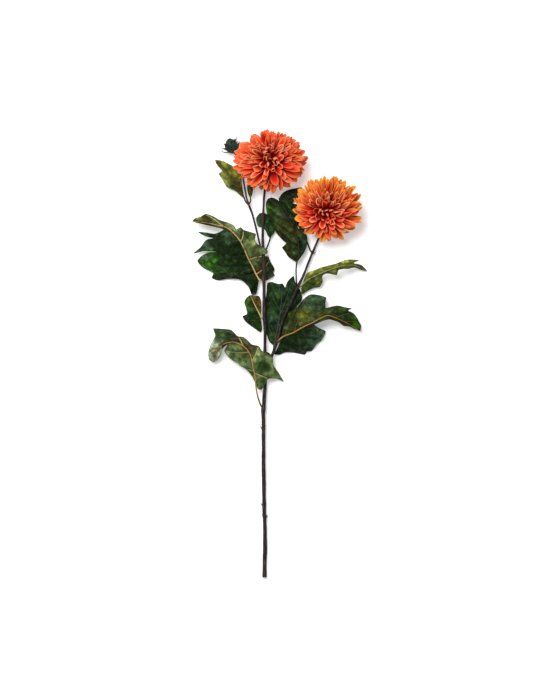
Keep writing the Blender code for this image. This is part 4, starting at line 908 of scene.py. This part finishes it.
def paint_leaf(left, right, vein_left, vein_right, midrib, stains_shade_and_sheen):
    def paint(tree):
        place = tree.place()
        rib, vein = tree.attribute("rib_distance"), tree.attribute("vein_distance")
        to_right, on_midrib = tree.attribute("side") * 0.5 + 0.5, tree.attribute("midrib").step(0.1, 0.4)
        mottle, fine, crumple = place.noise(75, 3, 0.6), place.noise(900, 2), place.noise(110, 4, 0.6)
        net = place.node("TexVoronoi", {"feature": "DISTANCE_TO_EDGE"}, "Distance", Vector=place, Scale=460.0)
        colour = to_right.mix(left, right)
        # The soft patches are partly the leaf's own stains and partly painted shade and painted sheen.
        for x, y, reach, tone in stains_shade_and_sheen:
            colour = (soft_patch(place, mottle, x, y, reach) * 0.85).mix(colour, tone)
        colour = (mottle.step(0.42, 0.62) * 0.85).mix(colour, (0.34, 0.42, 0.26), "MULTIPLY")
        # Painted shade in the hollows of the crumples, painted highlights on their ridges and a grey-green painted
        # sheen on the brightest.
        colour = (crumple.step(0.51, 0.37) * 0.8).mix(colour, (0.40, 0.44, 0.33), "MULTIPLY")
        colour = (crumple.step(0.50, 0.66) * 0.9).mix(colour, (1.9, 1.8, 1.75), "MULTIPLY")
        colour = (crumple.step(0.54, 0.66) * 0.2).mix(colour, SHEEN, "SCREEN")
        # The blade is pillowed between its side veins, so painted shade darkens it towards each of them, and painted
        # light brightens the puffs between them.
        colour = (vein.step(5.0, 0.8) * 0.5).mix(colour, (0.45, 0.50, 0.42), "MULTIPLY")
        colour = (vein.step(3.0, 7.0) * 0.4).mix(colour, (1.35, 1.3, 1.25), "MULTIPLY")
        # Light catches the sharp folds, which wander over the blade.
        fold = (place.noise(62, 3, 0.55) - 0.5).math("ABSOLUTE").step(0.040, 0.010)
        colour = (fold * crumple.step(0.40, 0.55) * 0.45).mix(colour, (1.9, 1.9, 1.9), "MULTIPLY")
        sheen = place.noise(40, 1).step(0.48, 0.62) * place.stretched(1, 2.4, 1).noise(90, 4).step(0.50, 0.68)
        colour = (sheen * 0.4).mix(colour, SHEEN, "SCREEN")
        colour = (fine.step(0.45, 0.7) * 0.3).mix(colour, (1.4, 1.4, 1.3), "MULTIPLY")
        colour = (net.step(0.09, 0.02) * 0.07).mix(colour, PALE_GREEN)
        # Painted shade in the groove beside the midrib.
        colour = (rib.step(6.0, 0.6) * 0.75).mix(colour, (0.35, 0.32, 0.28), "MULTIPLY")
        if midrib in (CREAM, TAN, RUST):
            colour = (rib.step(4.5, 0.8) * mottle.step(0.44, 0.6) * 0.5).mix(colour, RUST)
        vein_colour = to_right.mix(vein_left, vein_right)
        colour = ((vein + rib * 0.02).step(1.15, 0.35) * (0.45 + crumple * 0.7)).mix(colour, vein_colour)
        colour = on_midrib.mix(colour, midrib)
        colour = (on_midrib * place.noise(140, 2).step(0.5, 0.7) * 0.6).mix(colour, RUST)
        colour = tree.attribute("along").step(0.2, 0.9).mix(colour, PLUM_AND_SHADE)
        height = vein.step(0, 1.6) * 0.5 + net.step(0, 0.12) * 0.04 + fine * 0.2 + crumple * 2.2 + fold * 0.12
        return {"Base_Color": colour, "Roughness": 0.32 + mottle * 0.2, "Specular_IOR_Level": 0.08,
                "Normal": height.bump(0.0012, 0.8)}
    return paint


# %% Build every leaf
for name, leaf in LEAVES.items():
    *colours, slot, stains_shade_and_sheen = LEAF_LOOKS[name]
    surface = finish(name + "_face", 0.4, paint_leaf(*colours, stains_shade_and_sheen))
    blade, rib = make_blade(name + "_blade", leaf), make_midrib(name, leaf)
    for item in (blade, rib):
        item.data.materials.append(surface)
    finish_piece(join([blade, rib], name + "_blade"), name)

# %% [markdown]
# ## One petal
# A chrysanthemum's bloom is a head of many small flowers, and each long petal is one of them: narrow at its
# root, widest at two thirds, rounded at its tip and cupped along its length. One flat petal is modelled
# from a grid, its rows drawn in to that outline in edit mode, and later each copy is bent to its own place.

# %% Model the flat petal once
PETAL_COLUMNS = 4
# Where each row of the petal lies along it, and its half width there as a share of the widest.
PETAL_OUTLINE = ((0.0, 0.34), (0.18, 0.50), (0.36, 0.74), (0.52, 0.94), (0.65, 1.0), (0.77, 0.90), (0.87, 0.68),
                 (0.95, 0.38), (1.0, 0.07))


def model_sheet(name, outline, columns, notch=0.0):
    """A flat sheet whose rows are drawn in to an outline, lying along Y from 0 to 1, its tip notched."""
    last = len(outline) - 1
    item = add_primitive(name, bpy.ops.mesh.primitive_grid_add, x_subdivisions=columns, y_subdivisions=last, size=2)
    bpy.ops.object.mode_set(mode="EDIT")
    work = bmesh.from_edit_mesh(item.data)
    rows = [[v for v in work.verts if round((v.co.y + 1) * last / 2) == n] for n in range(last + 1)]
    for n, (place, half) in enumerate(outline):
        bpy.ops.mesh.select_all(action="DESELECT")
        for vertex in rows[n]:
            vertex.select_set(True)
        work.select_flush_mode()
        at = -1 + 2 * n / last
        bpy.ops.transform.resize(value=(half, 1, 1), center_override=(0, at, 0))
        bpy.ops.transform.translate(value=(0, place - at, 0))
    if notch:
        rows[last][columns // 2].co.y -= notch
    bpy.ops.object.mode_set(mode="OBJECT")
    flat = points_of(item.data)
    half_at = np.interp(flat[:, 1], [p for p, _ in outline], [h for _, h in outline])
    half_at[flat[:, 1] > 1 - notch - 0.001] = outline[-1][1]
    set_values(item.data, along=flat[:, 1], across=flat[:, 0] / half_at)
    print(name, "has", len(item.data.polygons), "faces")
    return item


flat_petal = model_sheet("flat_petal", PETAL_OUTLINE, PETAL_COLUMNS, notch=0.01)

# %% [markdown]
# ## Bending a copy into place
# Each petal's middle line runs from its root on the disc through a bend to its tip. Across that line it is
# rolled like a gutter, and its tip may curl in or out. A crease runs down its middle, and a frill grows
# towards its edges. The flat petal's own X and Y say where each point goes, so the copy keeps its faces and
# its values.

# %% A bent copy of a flat sheet
# How deep the crease is, as a share of the sheet's width.
CREASE = 0.05


def bend_sheet(flat_item, base, control, tip, across, width, roll, curl, frill=0.0, **values):
    mesh = flat_item.data.copy()
    flat = points_of(mesh)
    sides = np.abs(flat[:, :1]) / np.abs(flat[:, :1]).max()
    t = flat[:, 1:2]
    middle = (1 - t) ** 2 * base + 2 * t * (1 - t) * control + t * t * tip
    way = 2 * (1 - t) * (control - base) + 2 * t * (tip - control)
    way /= np.linalg.norm(way, axis=1)[:, None]
    side = across - way * (way @ across)[:, None]
    side /= np.linalg.norm(side, axis=1)[:, None]
    raised = np.cross(way, side)
    middle = middle + curl * width * smooth_step(t, 0.55, 1.05) * raised
    turn = 0.5 * roll * flat[:, :1]
    bent = middle + width / roll * (-np.sin(turn) * side + (1 - np.cos(turn)) * raised)
    frilled = 0.5 * frill * np.sin(7 * t * flat[:, :1] + 40 * frill) * sides ** 2
    creased = CREASE * (sides < 0.1)
    place_points(mesh, bent + width * (frilled - creased) * raised)
    set_values(mesh, **values)
    return add_object(flat_item.name + "_copy", mesh)


# %% [markdown]
# ## How the petals stand
# Petals grow in a spiral, each about 137.5 degrees round from the one before, which is how a head of florets
# fills itself. The inner ones stand up and curl over a small hollow, the outer ones spread out and hang a
# little. Both blooms share one rule, with their own middle, axis, radius, stretch and colour.

# %% The blooms: middle, axis, radius, stretch across and along, shift and gaps of the outline, and material slot
BLOOMS = {
    "left": {"centre": (9.5, 642.5, 38), "axis": (0.03, -0.17, 0.985), "radius": 59, "stretch": (1.0, 0.84),
             "shift": (0.0, 0.0), "gaps": (101, 108, 139, 150, 161), "slot": "petal_coral"},
    "right": {"centre": (95.6, 565.5, 36), "axis": (-0.07, -0.31, 0.948), "radius": 56, "stretch": (1.0, 0.96),
              "shift": (0.04, 0.10), "gaps": (78, 118), "slot": "petal_amber"},
}
PETALS_PER_BLOOM, EXTRA_PETALS, HEART_PETALS = 84, 96, 8
GOLDEN_ANGLE = math.radians(137.508)
PETAL_SPREAD = math.radians(104)
PETAL_THICKNESS = 0.45


def bloom_frame(axis):
    """Three directions of a bloom or bud: across it, along the spray, and out along its axis."""
    axis = unit(axis)
    across = unit(np.cross((0, 1, 0), axis))
    return across, np.cross(axis, across), axis


# %% [markdown]
# ## What a petal's finish is
# A petal is deep red where it is hidden at its root, coral or amber over its length and lighter at its tip,
# with fine grooves along it. Its back is paler, and light catches its thin rim, which is painted as a pale peach
# highlight. Painted shade darkens the middle of each rolled petal and some whole petals. The petal's own length
# and width say where each of those belongs.

# %% The petal finishes
def paint_petal(root, inner, outer, inner_tip, outer_tip, rim, back=0.0):
    def paint(tree):
        place = tree.place()
        along, across = tree.attribute("along"), tree.attribute("across")
        layer, shade = tree.attribute("layer"), tree.attribute("shade")
        where = (layer + (shade - 0.5) * 0.3).step(0.45, 0.95)
        body, tip = where.mix(inner, outer), where.mix(inner_tip, outer_tip)
        streaks = (across * 9 + place.noise(160, 2) * 2).math("SINE") * 0.5 + 0.5
        colour = (along + shade * 0.12 + layer * 0.14).step(0.32, 0.84).mix(root, body)
        colour = ((along + shade * 0.16).step(0.62, 1.06) * 0.9).mix(colour, tip)
        colour = (streaks * (1 - along * 0.5) * 0.35).mix(colour, root)
        edge = across.math("ABSOLUTE").math("MAXIMUM", along.step(0.87, 1.0))
        # Painted shade darkens the middle of each rolled petal towards its root colour, and its sides take the lighter
        # tip colour.
        colour = (edge.step(0.5, 0.0) * along.step(1.0, 0.7) * 0.65).mix(colour, root)
        colour = (edge.step(0.45, 1.0) * along.step(0.2, 0.8) * 0.5).mix(colour, tip)
        # The rim's painted highlight is widest on the petals round the heart, which curl up and show it.
        edge = edge + layer.step(0.72, 0.4) * shade.step(0.4, 0.8) * 0.10
        rim_highlight = edge.step(0.76, 0.94) * along.step(0.3, 0.8) * layer.step(0.02, 0.24)
        colour = (rim_highlight * (1 - where * 0.75) * shade.step(0.3, 0.6)).mix(colour, rim)
        # Painted shade: petals with a low shade number are darkened, as if sunk among the others.
        colour = ((1 - shade) * 0.36).mix(colour, (0.6, 0.32, 0.30), "MULTIPLY")
        if back:
            colour = tree.node("Mix", {"data_type": "RGBA"}, "Result_Color", Factor_Float=back, A_Color=colour,
                               B_Color=rim)
        return {"Base_Color": colour, "Roughness": 0.62 + streaks * 0.12, "Specular_IOR_Level": 0.12,
                "Normal": streaks.bump(0.0004, 0.5)}
    return paint


# For each bloom: a petal's root, the inner and outer petals' length, their tips, and the pale peach of the rim's
# painted highlight, which the backs are also mixed with.
PETAL_COLOURS = {
    "left": (tint(172, 2, 6), tint(240, 38, 24), tint(248, 62, 34), tint(252, 138, 78), tint(255, 122, 70),
             tint(255, 186, 142)),
    "right": (tint(170, 2, 10), tint(238, 42, 34), tint(255, 106, 26), tint(255, 136, 76), tint(255, 176, 52),
              tint(255, 186, 134)),
}

# %% One petal in its place
# The petals above the middle, short of the outermost, stand up more and curl over it, are narrower, and have
# tips that curl higher. Each of these sets in between two spreads, in degrees, and ends between two more.
LEANING, NARROWED, TURNED_UP = ((20, 45), (60, 80)), ((15, 40), (64, 84)), ((30, 50), (84, 98))


def above_middle(spread, angle, setting_in, ending):
    """How much a petal is one of those above the middle."""
    rise, fall = (smooth_step(spread, *map(math.radians, bounds)) for bounds in (setting_in, ending))
    return max(0.0, math.sin(angle)) * rise * (1 - fall)


def stand_petal(bloom, spread, angle, rng, looks, loose=1.0, small=1.0):
    """A petal that leans out from the bloom's axis by its spread, at an angle round it."""
    centre, radius = np.array(bloom["centre"], dtype=float), bloom["radius"]
    u, v, axis = bloom_frame(bloom["axis"])
    wide, long = bloom["stretch"]
    shift = bloom["shift"][0] * u + bloom["shift"][1] * v
    radial = math.cos(angle) * wide * u + math.sin(angle) * long * v
    round_it = -math.sin(angle) * u + math.cos(angle) * v
    out, up = math.sin(spread), math.cos(spread)
    inner, lean = max(0.0, 1 - spread / math.radians(50)), above_middle(spread, angle, *LEANING)
    reach = rng.uniform(0.93, 1.01) * (0.86 + 0.14 * small)
    rise, sway, height = rng.uniform(-0.05, 0.05), rng.uniform(-0.09, 0.09) * loose, rng.uniform(-0.08, 0.06)
    width = radius * (0.25 - 0.03 * inner) * rng.uniform(0.85, 1.1) * small
    width *= 1 - 0.25 * above_middle(spread, angle, *NARROWED)
    # Root, bend and tip lie outwards and along the axis by shares of the bloom's radius.
    base = centre + radius * (0.22 * out * radial + (0.20 * up + 0.02) * axis)
    control = centre + radius * ((0.58 * out + 0.12 * inner) * radial + (0.40 * up + 0.09 + rise) * axis)
    tip = centre + radius * reach * (out * (1 - 0.22 * inner - 0.16 * lean) * (radial + shift) + sway * round_it
                                     + (0.50 * up + 0.03 + 0.05 * inner + 0.12 * lean + height
                                        + 0.22 * out * (1 - small)) * axis)
    across = unit(round_it + looks.uniform(-0.85, 0.85) * axis)
    roll = math.radians(165 + 25 * inner + looks.uniform(-55, 55))
    curl = 0.05 + 0.2 * lean + looks.uniform(-0.35, 0.3)
    curl += above_middle(spread, angle, *TURNED_UP) * looks.uniform(0.0, 0.9)
    return bend_sheet(flat_petal, base, control, tip, across, width, roll, curl, frill=looks.uniform(-0.25, 0.25),
                      layer=min(1.0, spread / PETAL_SPREAD), shade=looks.uniform(0, 1))


# %% Make both blooms
# How many places at the very middle of the spiral stay empty.
LEFT_OUT = 3
# Least and greatest spread in degrees, and size, of the small petals above the middle and of those in gaps.
UPPER_SPREAD, UPPER_SIZE = (32, 94), (0.5, 0.75)
GAP_SPREAD, GAP_SIZE = (80, 90), 1.1
# The spread of the heart's first petal, how much each next one spreads further, and their size.
HEART_SPREAD, HEART_STEP, HEART_SIZE = 3, 2.5, 0.6


def make_bloom(name, bloom, rng, looks):
    petals = []
    for n in range(PETALS_PER_BLOOM):
        share = (n + LEFT_OUT) / (PETALS_PER_BLOOM + LEFT_OUT)
        loose = 1 - 0.7 * share
        spread = PETAL_SPREAD * share ** 0.6 + rng.uniform(-0.05, 0.05)
        angle = n * GOLDEN_ANGLE + rng.uniform(-0.16, 0.16) * loose
        petals.append(stand_petal(bloom, spread, angle, rng, looks, loose))
    # More small ones crowd the upper half, a few large ones fill gaps in the outline, and the heart is a knot of
    # narrow young petals.
    least, greatest = UPPER_SPREAD
    for n in range(EXTRA_PETALS):
        spread = math.radians(least + (greatest - least) * looks.random() ** 0.7)
        angle = math.radians(looks.uniform(0, 180))
        petals.append(stand_petal(bloom, spread, angle, looks, looks, small=looks.uniform(*UPPER_SIZE)))
    for degrees in bloom["gaps"]:
        spread = math.radians(looks.uniform(*GAP_SPREAD))
        petals.append(stand_petal(bloom, spread, math.radians(degrees), looks, looks, small=GAP_SIZE))
    for n in range(HEART_PETALS):
        spread, angle = math.radians(HEART_SPREAD + HEART_STEP * n), n * GOLDEN_ANGLE + 0.7
        petals.append(stand_petal(bloom, spread, angle, looks, looks, small=HEART_SIZE))
    whole = join(petals, name)
    bpy.ops.object.shade_smooth()
    return whole


# %% The disc that the petals stand on
# Its radius and half its height, as shares of the bloom's radius.
DISC_RADIUS, DISC_HEIGHT = 0.38, 0.22


def make_disc(bloom):
    centre, radius = np.array(bloom["centre"], dtype=float), bloom["radius"]
    u, v, axis = bloom_frame(bloom["axis"])
    wide, long = bloom["stretch"]
    disc = add_primitive("disc", bpy.ops.mesh.primitive_ico_sphere_add, subdivisions=4, radius=1)
    flat = points_of(disc.data)
    # The roots of the lowest petals show as ridges round its underside, and its top is deep red.
    under = flat[:, 2] < -0.1
    for face in disc.data.polygons:
        face.material_index = int(under[list(face.vertices)].all())
    ridge = np.sin(26 * np.arctan2(flat[:, 1], flat[:, 0]))
    flat *= (0.93 + 0.05 * ridge * np.hypot(flat[:, 0], flat[:, 1]))[:, None]
    place_points(disc.data, centre + radius * (
        DISC_RADIUS * flat[:, :1] * wide * u + DISC_RADIUS * flat[:, 1:2] * long * v
        + (DISC_HEIGHT * flat[:, 2:] + 0.02) * axis))
    set_values(disc.data, along=np.where(under, 0.5 + 0.14 * ridge, 0.0), across=0.3 - 0.3 * ridge, layer=0.3,
               shade=0.1)
    bpy.ops.object.shade_smooth()
    return disc


# The first draws the main petals' places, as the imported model's source does, and later those of the bracts and
# of the bud's scales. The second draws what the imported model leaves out: how far each petal rolls and curls, its
# shade, and where the extra ones stand.
rng, looks = random.Random(7), random.Random(21)
for name, bloom in BLOOMS.items():
    whole = make_bloom("bloom_" + name + "_petals", bloom, rng, looks)
    whole.data.materials.append(finish("petal_face_" + name, 0.55, paint_petal(*PETAL_COLOURS[name])))
    whole.data.materials.append(finish("petal_back_" + name, 0.6, paint_petal(*PETAL_COLOURS[name], back=0.35)))
    thicken(whole, PETAL_THICKNESS, back=1)
    disc = make_disc(bloom)
    for surface in whole.data.materials:
        disc.data.materials.append(surface)
    finish_piece(join([whole, disc], "bloom_" + name + "_petals"), "bloom_" + name)

# %% [markdown]
# ## The green cup behind a bloom
# Behind the petals sits a cup of small overlapping bracts. It hardly shows from above, but it does from the
# side and from below. A ball gives a closed cup when its rings are moved onto the cup's own section, and one
# narrow bract, modelled once, is copied round it in three rows.

# %% The bract and its finish
# The cup's section as height and radius, from the middle of its foot to the middle of its hollow, and the
# radius of the bloom that it fits.
CALYX_SECTION = np.array(((-21.6, 0), (-21.6, 3.4), (-20, 9), (-16, 14.5), (-11.5, 17), (-10, 16.2), (-11.6, 12.5),
                          (-13.6, 6), (-13.6, 0)))
CALYX_RADIUS = 59
# Each row of bracts: how many, then height and radius of foot, bend and tip, and their width.
BRACT_ROWS = ((11, (-21.2, 4.5), (-19.0, 17.5), (-9.5, 19.5), 8.0),
              (12, (-20.0, 8.5), (-15.0, 20.5), (-6.0, 21.0), 8.0),
              (13, (-16.0, 13.5), (-11.5, 21.5), (-3.5, 22.5), 7.0))
BRACT_OUTLINE = ((0.0, 0.70), (0.3, 1.0), (0.6, 0.86), (0.85, 0.45), (1.0, 0.08))
BRACT_THICKNESS = 0.5
flat_bract = model_sheet("flat_bract", BRACT_OUTLINE, columns=2)
# Each finish's dark green, green, and the colour of its edges.
CUP_GREENS = tint(24, 40, 26), tint(48, 82, 44), tint(128, 122, 76)
BUD_GREENS = tint(14, 26, 20), tint(30, 58, 42), tint(70, 92, 62)


def paint_bract(dark, green, edge):
    def paint(tree):
        along, across = tree.attribute("along"), tree.attribute("across").math("ABSOLUTE")
        mottle = tree.place().noise(260, 3)
        colour = mottle.step(0.35, 0.65).mix(dark, green)
        colour = (along.step(0.5, 1.0) * 0.6).mix(colour, dark)
        colour = (across.step(0.75, 1.0) * 0.5).mix(colour, edge)
        return {"Base_Color": colour, "Roughness": 0.45 + mottle * 0.2, "Specular_IOR_Level": 0.3,
                "Normal": (mottle + across).bump(0.0004, 0.6)}
    return paint


bract_finish = finish("bract_green", 0.5, paint_bract(*CUP_GREENS))
bud_finish = finish("bud_scales", 0.5, paint_bract(*BUD_GREENS))


# %% Make a cup, and set bracts round it
def closed_ball(name, section_of, rings=20, sides=28):
    """A ball, and its points with its rings moved to heights and radii along a section."""
    item = add_primitive(name, bpy.ops.mesh.primitive_uv_sphere_add, segments=sides, ring_count=rings, radius=1)
    flat = points_of(item.data)
    share = np.arccos(np.clip(-flat[:, 2], -1, 1)) / math.pi
    height, radius = section_of(share)
    around = flat[:, :2] / np.maximum(np.linalg.norm(flat[:, :2], axis=1), 1e-9)[:, None]
    around[np.abs(flat[:, 2]) > 0.9999] = 0
    set_values(item.data, along=0.3, across=0.0)
    bpy.ops.object.shade_smooth()
    return item, np.column_stack([around * radius[:, None], height])


def cup_section(share):
    """The cup's height and radius at a share of the way along its section."""
    last = len(CALYX_SECTION) - 1
    return [np.interp(share * last, range(last + 1), column) for column in CALYX_SECTION.T]


for name, bloom in BLOOMS.items():
    centre, scale = np.array(bloom["centre"], dtype=float), bloom["radius"] / CALYX_RADIUS
    u, v, axis = bloom_frame(bloom["axis"])
    wide, long = bloom["stretch"]
    cup, local = closed_ball("cup", cup_section)
    place_points(cup.data, centre + scale * (local[:, :1] * wide * u + local[:, 1:2] * long * v + local[:, 2:] * axis))
    cup.data.update()
    bracts = []
    for row, (count, foot, bend, tip, width) in enumerate(BRACT_ROWS):
        for n in range(count):
            angle = 2 * math.pi * (n + 0.5 * (row % 2) + rng.uniform(-0.1, 0.1)) / count
            radial = math.cos(angle) * wide * u + math.sin(angle) * long * v
            across = -math.sin(angle) * u + math.cos(angle) * v
            ends = [centre + scale * (radius * radial + height * axis) for height, radius in (foot, bend, tip)]
            bracts.append(bend_sheet(flat_bract, *ends, across, scale * width, roll=math.radians(60), curl=0.1))
    bracts = join(bracts, "bracts")
    bpy.ops.object.shade_smooth()
    for item in (cup, bracts):
        item.data.materials.append(bract_finish)
    thicken(bracts, BRACT_THICKNESS)
    finish_piece(join([cup, bracts], "calyx_" + name + "_bracts"), "calyx_" + name)

# %% [markdown]
# ## The closed bud
# The bud is a small dark egg of overlapping scales, with the tips of its leafy sepals standing out. The same
# bract is copied over an egg in a spiral, smaller towards the top, and longer ones stand at its side.

# %% Make the bud
BUD_CENTRE, BUD_AXIS, BUD_RADIUS, BUD_LENGTHENING = (-50, 666, 12.5), (-0.42, 0.88, 0.12), 10, 1.15
# The bud's sepals: height of the foot along the bud, angle around it, and length.
SEPALS = ((-0.5, 268, 14), (-0.2, 300, 12), (-0.5, 330, 11), (-0.45, 30, 10), (-0.1, 70, 9),
          (0.1, 262, 10), (0.5, 300, 8), (0.55, 0, 8), (0.6, 60, 8), (0.4, 110, 8))
BUD_SCALES, SEPAL_WIDTH, SCALE_THICKNESS = 44, 5.0, 0.6
# Where along the bud the scales begin and how far they climb, and how wide they are and how much of it they lose.
SCALE_START, SCALE_CLIMB, SCALE_WIDTH, SCALE_NARROWING = -0.85, 1.75, 6.2, 2.0
# The egg under the scales is a little smaller than the bud.
EGG_SHARE = 0.93

u, v, axis = bloom_frame(BUD_AXIS)
centre = np.array(BUD_CENTRE, dtype=float)


def egg_section(share):
    return -BUD_LENGTHENING * np.cos(share * math.pi), np.sin(share * math.pi)


def bud_ways(angle):
    """Out from the bud's axis at an angle round it, and across that."""
    return math.cos(angle) * u + math.sin(angle) * v, -math.sin(angle) * u + math.cos(angle) * v


def bud_point(height, angle, out):
    """A point on the bud, or out from it by a share of its radius."""
    ring = out * math.sqrt(max(0.0, 1 - height ** 2))
    return centre + BUD_RADIUS * (ring * bud_ways(angle)[0] + BUD_LENGTHENING * height * axis)


egg, local = closed_ball("egg", egg_section, rings=14, sides=20)
place_points(egg.data, centre + EGG_SHARE * BUD_RADIUS * (local[:, :1] * u + local[:, 1:2] * v + local[:, 2:] * axis))
egg.data.update()
# Each scale is rooted in the egg, swells a little out of it and ends free, higher up the bud.
scales = []
for n in range(BUD_SCALES):
    height, angle = SCALE_START + SCALE_CLIMB * (n / BUD_SCALES) ** 0.9, n * GOLDEN_ANGLE
    foot, bend = bud_point(height, angle, 0.90), bud_point(min(0.97, height + 0.30), angle, 1.08)
    tip = bud_point(min(0.98, height + 0.62), angle, 1.02 + rng.uniform(0.0, 0.25))
    tip = tip + (1.5 + rng.uniform(0, 1.5)) * axis
    width = SCALE_WIDTH - SCALE_NARROWING * n / BUD_SCALES
    scales.append(bend_sheet(flat_bract, foot, bend, tip, bud_ways(angle)[1], width, roll=math.radians(70), curl=0.1))
for height, degrees, length in SEPALS:
    angle = math.radians(degrees)
    radial, across = bud_ways(angle)
    foot = bud_point(height, angle, 0.85)
    tip = foot + length * unit(0.8 * radial + 0.5 * axis)
    bend = foot + 0.55 * length * unit(radial + 0.1 * axis)
    scales.append(bend_sheet(flat_bract, foot, bend, tip, across, SEPAL_WIDTH, roll=math.radians(80), curl=0.2))
scales = join(scales, "scales")
bpy.ops.object.shade_smooth()
for item in (egg, scales):
    item.data.materials.append(bud_finish)
thicken(scales, SCALE_THICKNESS)
finish_piece(join([egg, scales], "bud_scales"), "bud")

# %% The flat petal and bract were only for copying
for item in (flat_petal, flat_bract):
    bpy.data.objects.remove(item)

# %% [markdown]
# ## Table, light and camera
# The spray lies on a pale table and is seen from straight above. A far camera with a long lens shows it as a
# product photograph does, with hardly any perspective. A wide soft light from the upper left gives the petals
# and leaves their shape, a smaller one fills in, and a bright even surround keeps the shadows faint.

# %% The pale table, a hair below the spray
TABLE_SIZE, TABLE_DROP, TABLE_GLOW = 6, 0.0003, 0.28


def paint_table(tree):
    return {"Base_Color": tree.place().noise(6, 2).mix((0.90, 0.90, 0.90), (0.93, 0.93, 0.93)),
            "Emission_Color": (1.0, 1.0, 1.0), "Emission_Strength": TABLE_GLOW}


table = add_primitive("table", bpy.ops.mesh.primitive_plane_add, size=TABLE_SIZE, location=(0, 0, -TABLE_DROP))
table.data.materials.append(finish("pale_table", 0.9, paint_table))

# %% Soft light
SURROUND = 0.34
# Each lamp's width, power and place. Both are turned towards the spray's middle.
LAMPS = {"key": (1.6, 66.0, (-0.75, 1.15, 2.4)), "fill": (0.7, 11.0, (-0.4, 0.7, 2.4))}
SPRAY_MIDDLE = Vector((0, 0.1, 0))

world = bpy.data.worlds.new("surround")
bpy.context.scene.world = world
world.use_nodes = True
background = world.node_tree.nodes["Background"].inputs
background["Color"].default_value, background["Strength"].default_value = (1, 1, 1, 1), SURROUND
for name, (size, power, place) in LAMPS.items():
    light = bpy.data.lights.new(name, "AREA")
    light.shape, light.size, light.energy = "DISK", size, power
    lamp = add_object(name, light)
    lamp.location = place
    lamp.rotation_euler = (SPRAY_MIDDLE - lamp.location).to_track_quat("-Z", "Y").to_euler()
print("lamps", list(LAMPS))

# %% The camera, straight above
# What the photograph shows from top to bottom, and the middle of it, in metres on the table.
PHOTO_HEIGHT_M, PHOTO_MIDDLE = 1.085, (0.0004, 0.0063)
CAMERA_HEIGHT_M, SENSOR_MM = 5.0, 36
camera = bpy.data.cameras.new("camera")
camera.sensor_width = SENSOR_MM
camera.lens = SENSOR_MM * CAMERA_HEIGHT_M / PHOTO_HEIGHT_M
eye = add_object("camera", camera)
eye.location = (*PHOTO_MIDDLE, CAMERA_HEIGHT_M)
bpy.context.scene.camera = eye
bpy.context.scene.view_settings.view_transform = "Standard"
print("lens", round(camera.lens, 1), "mm")
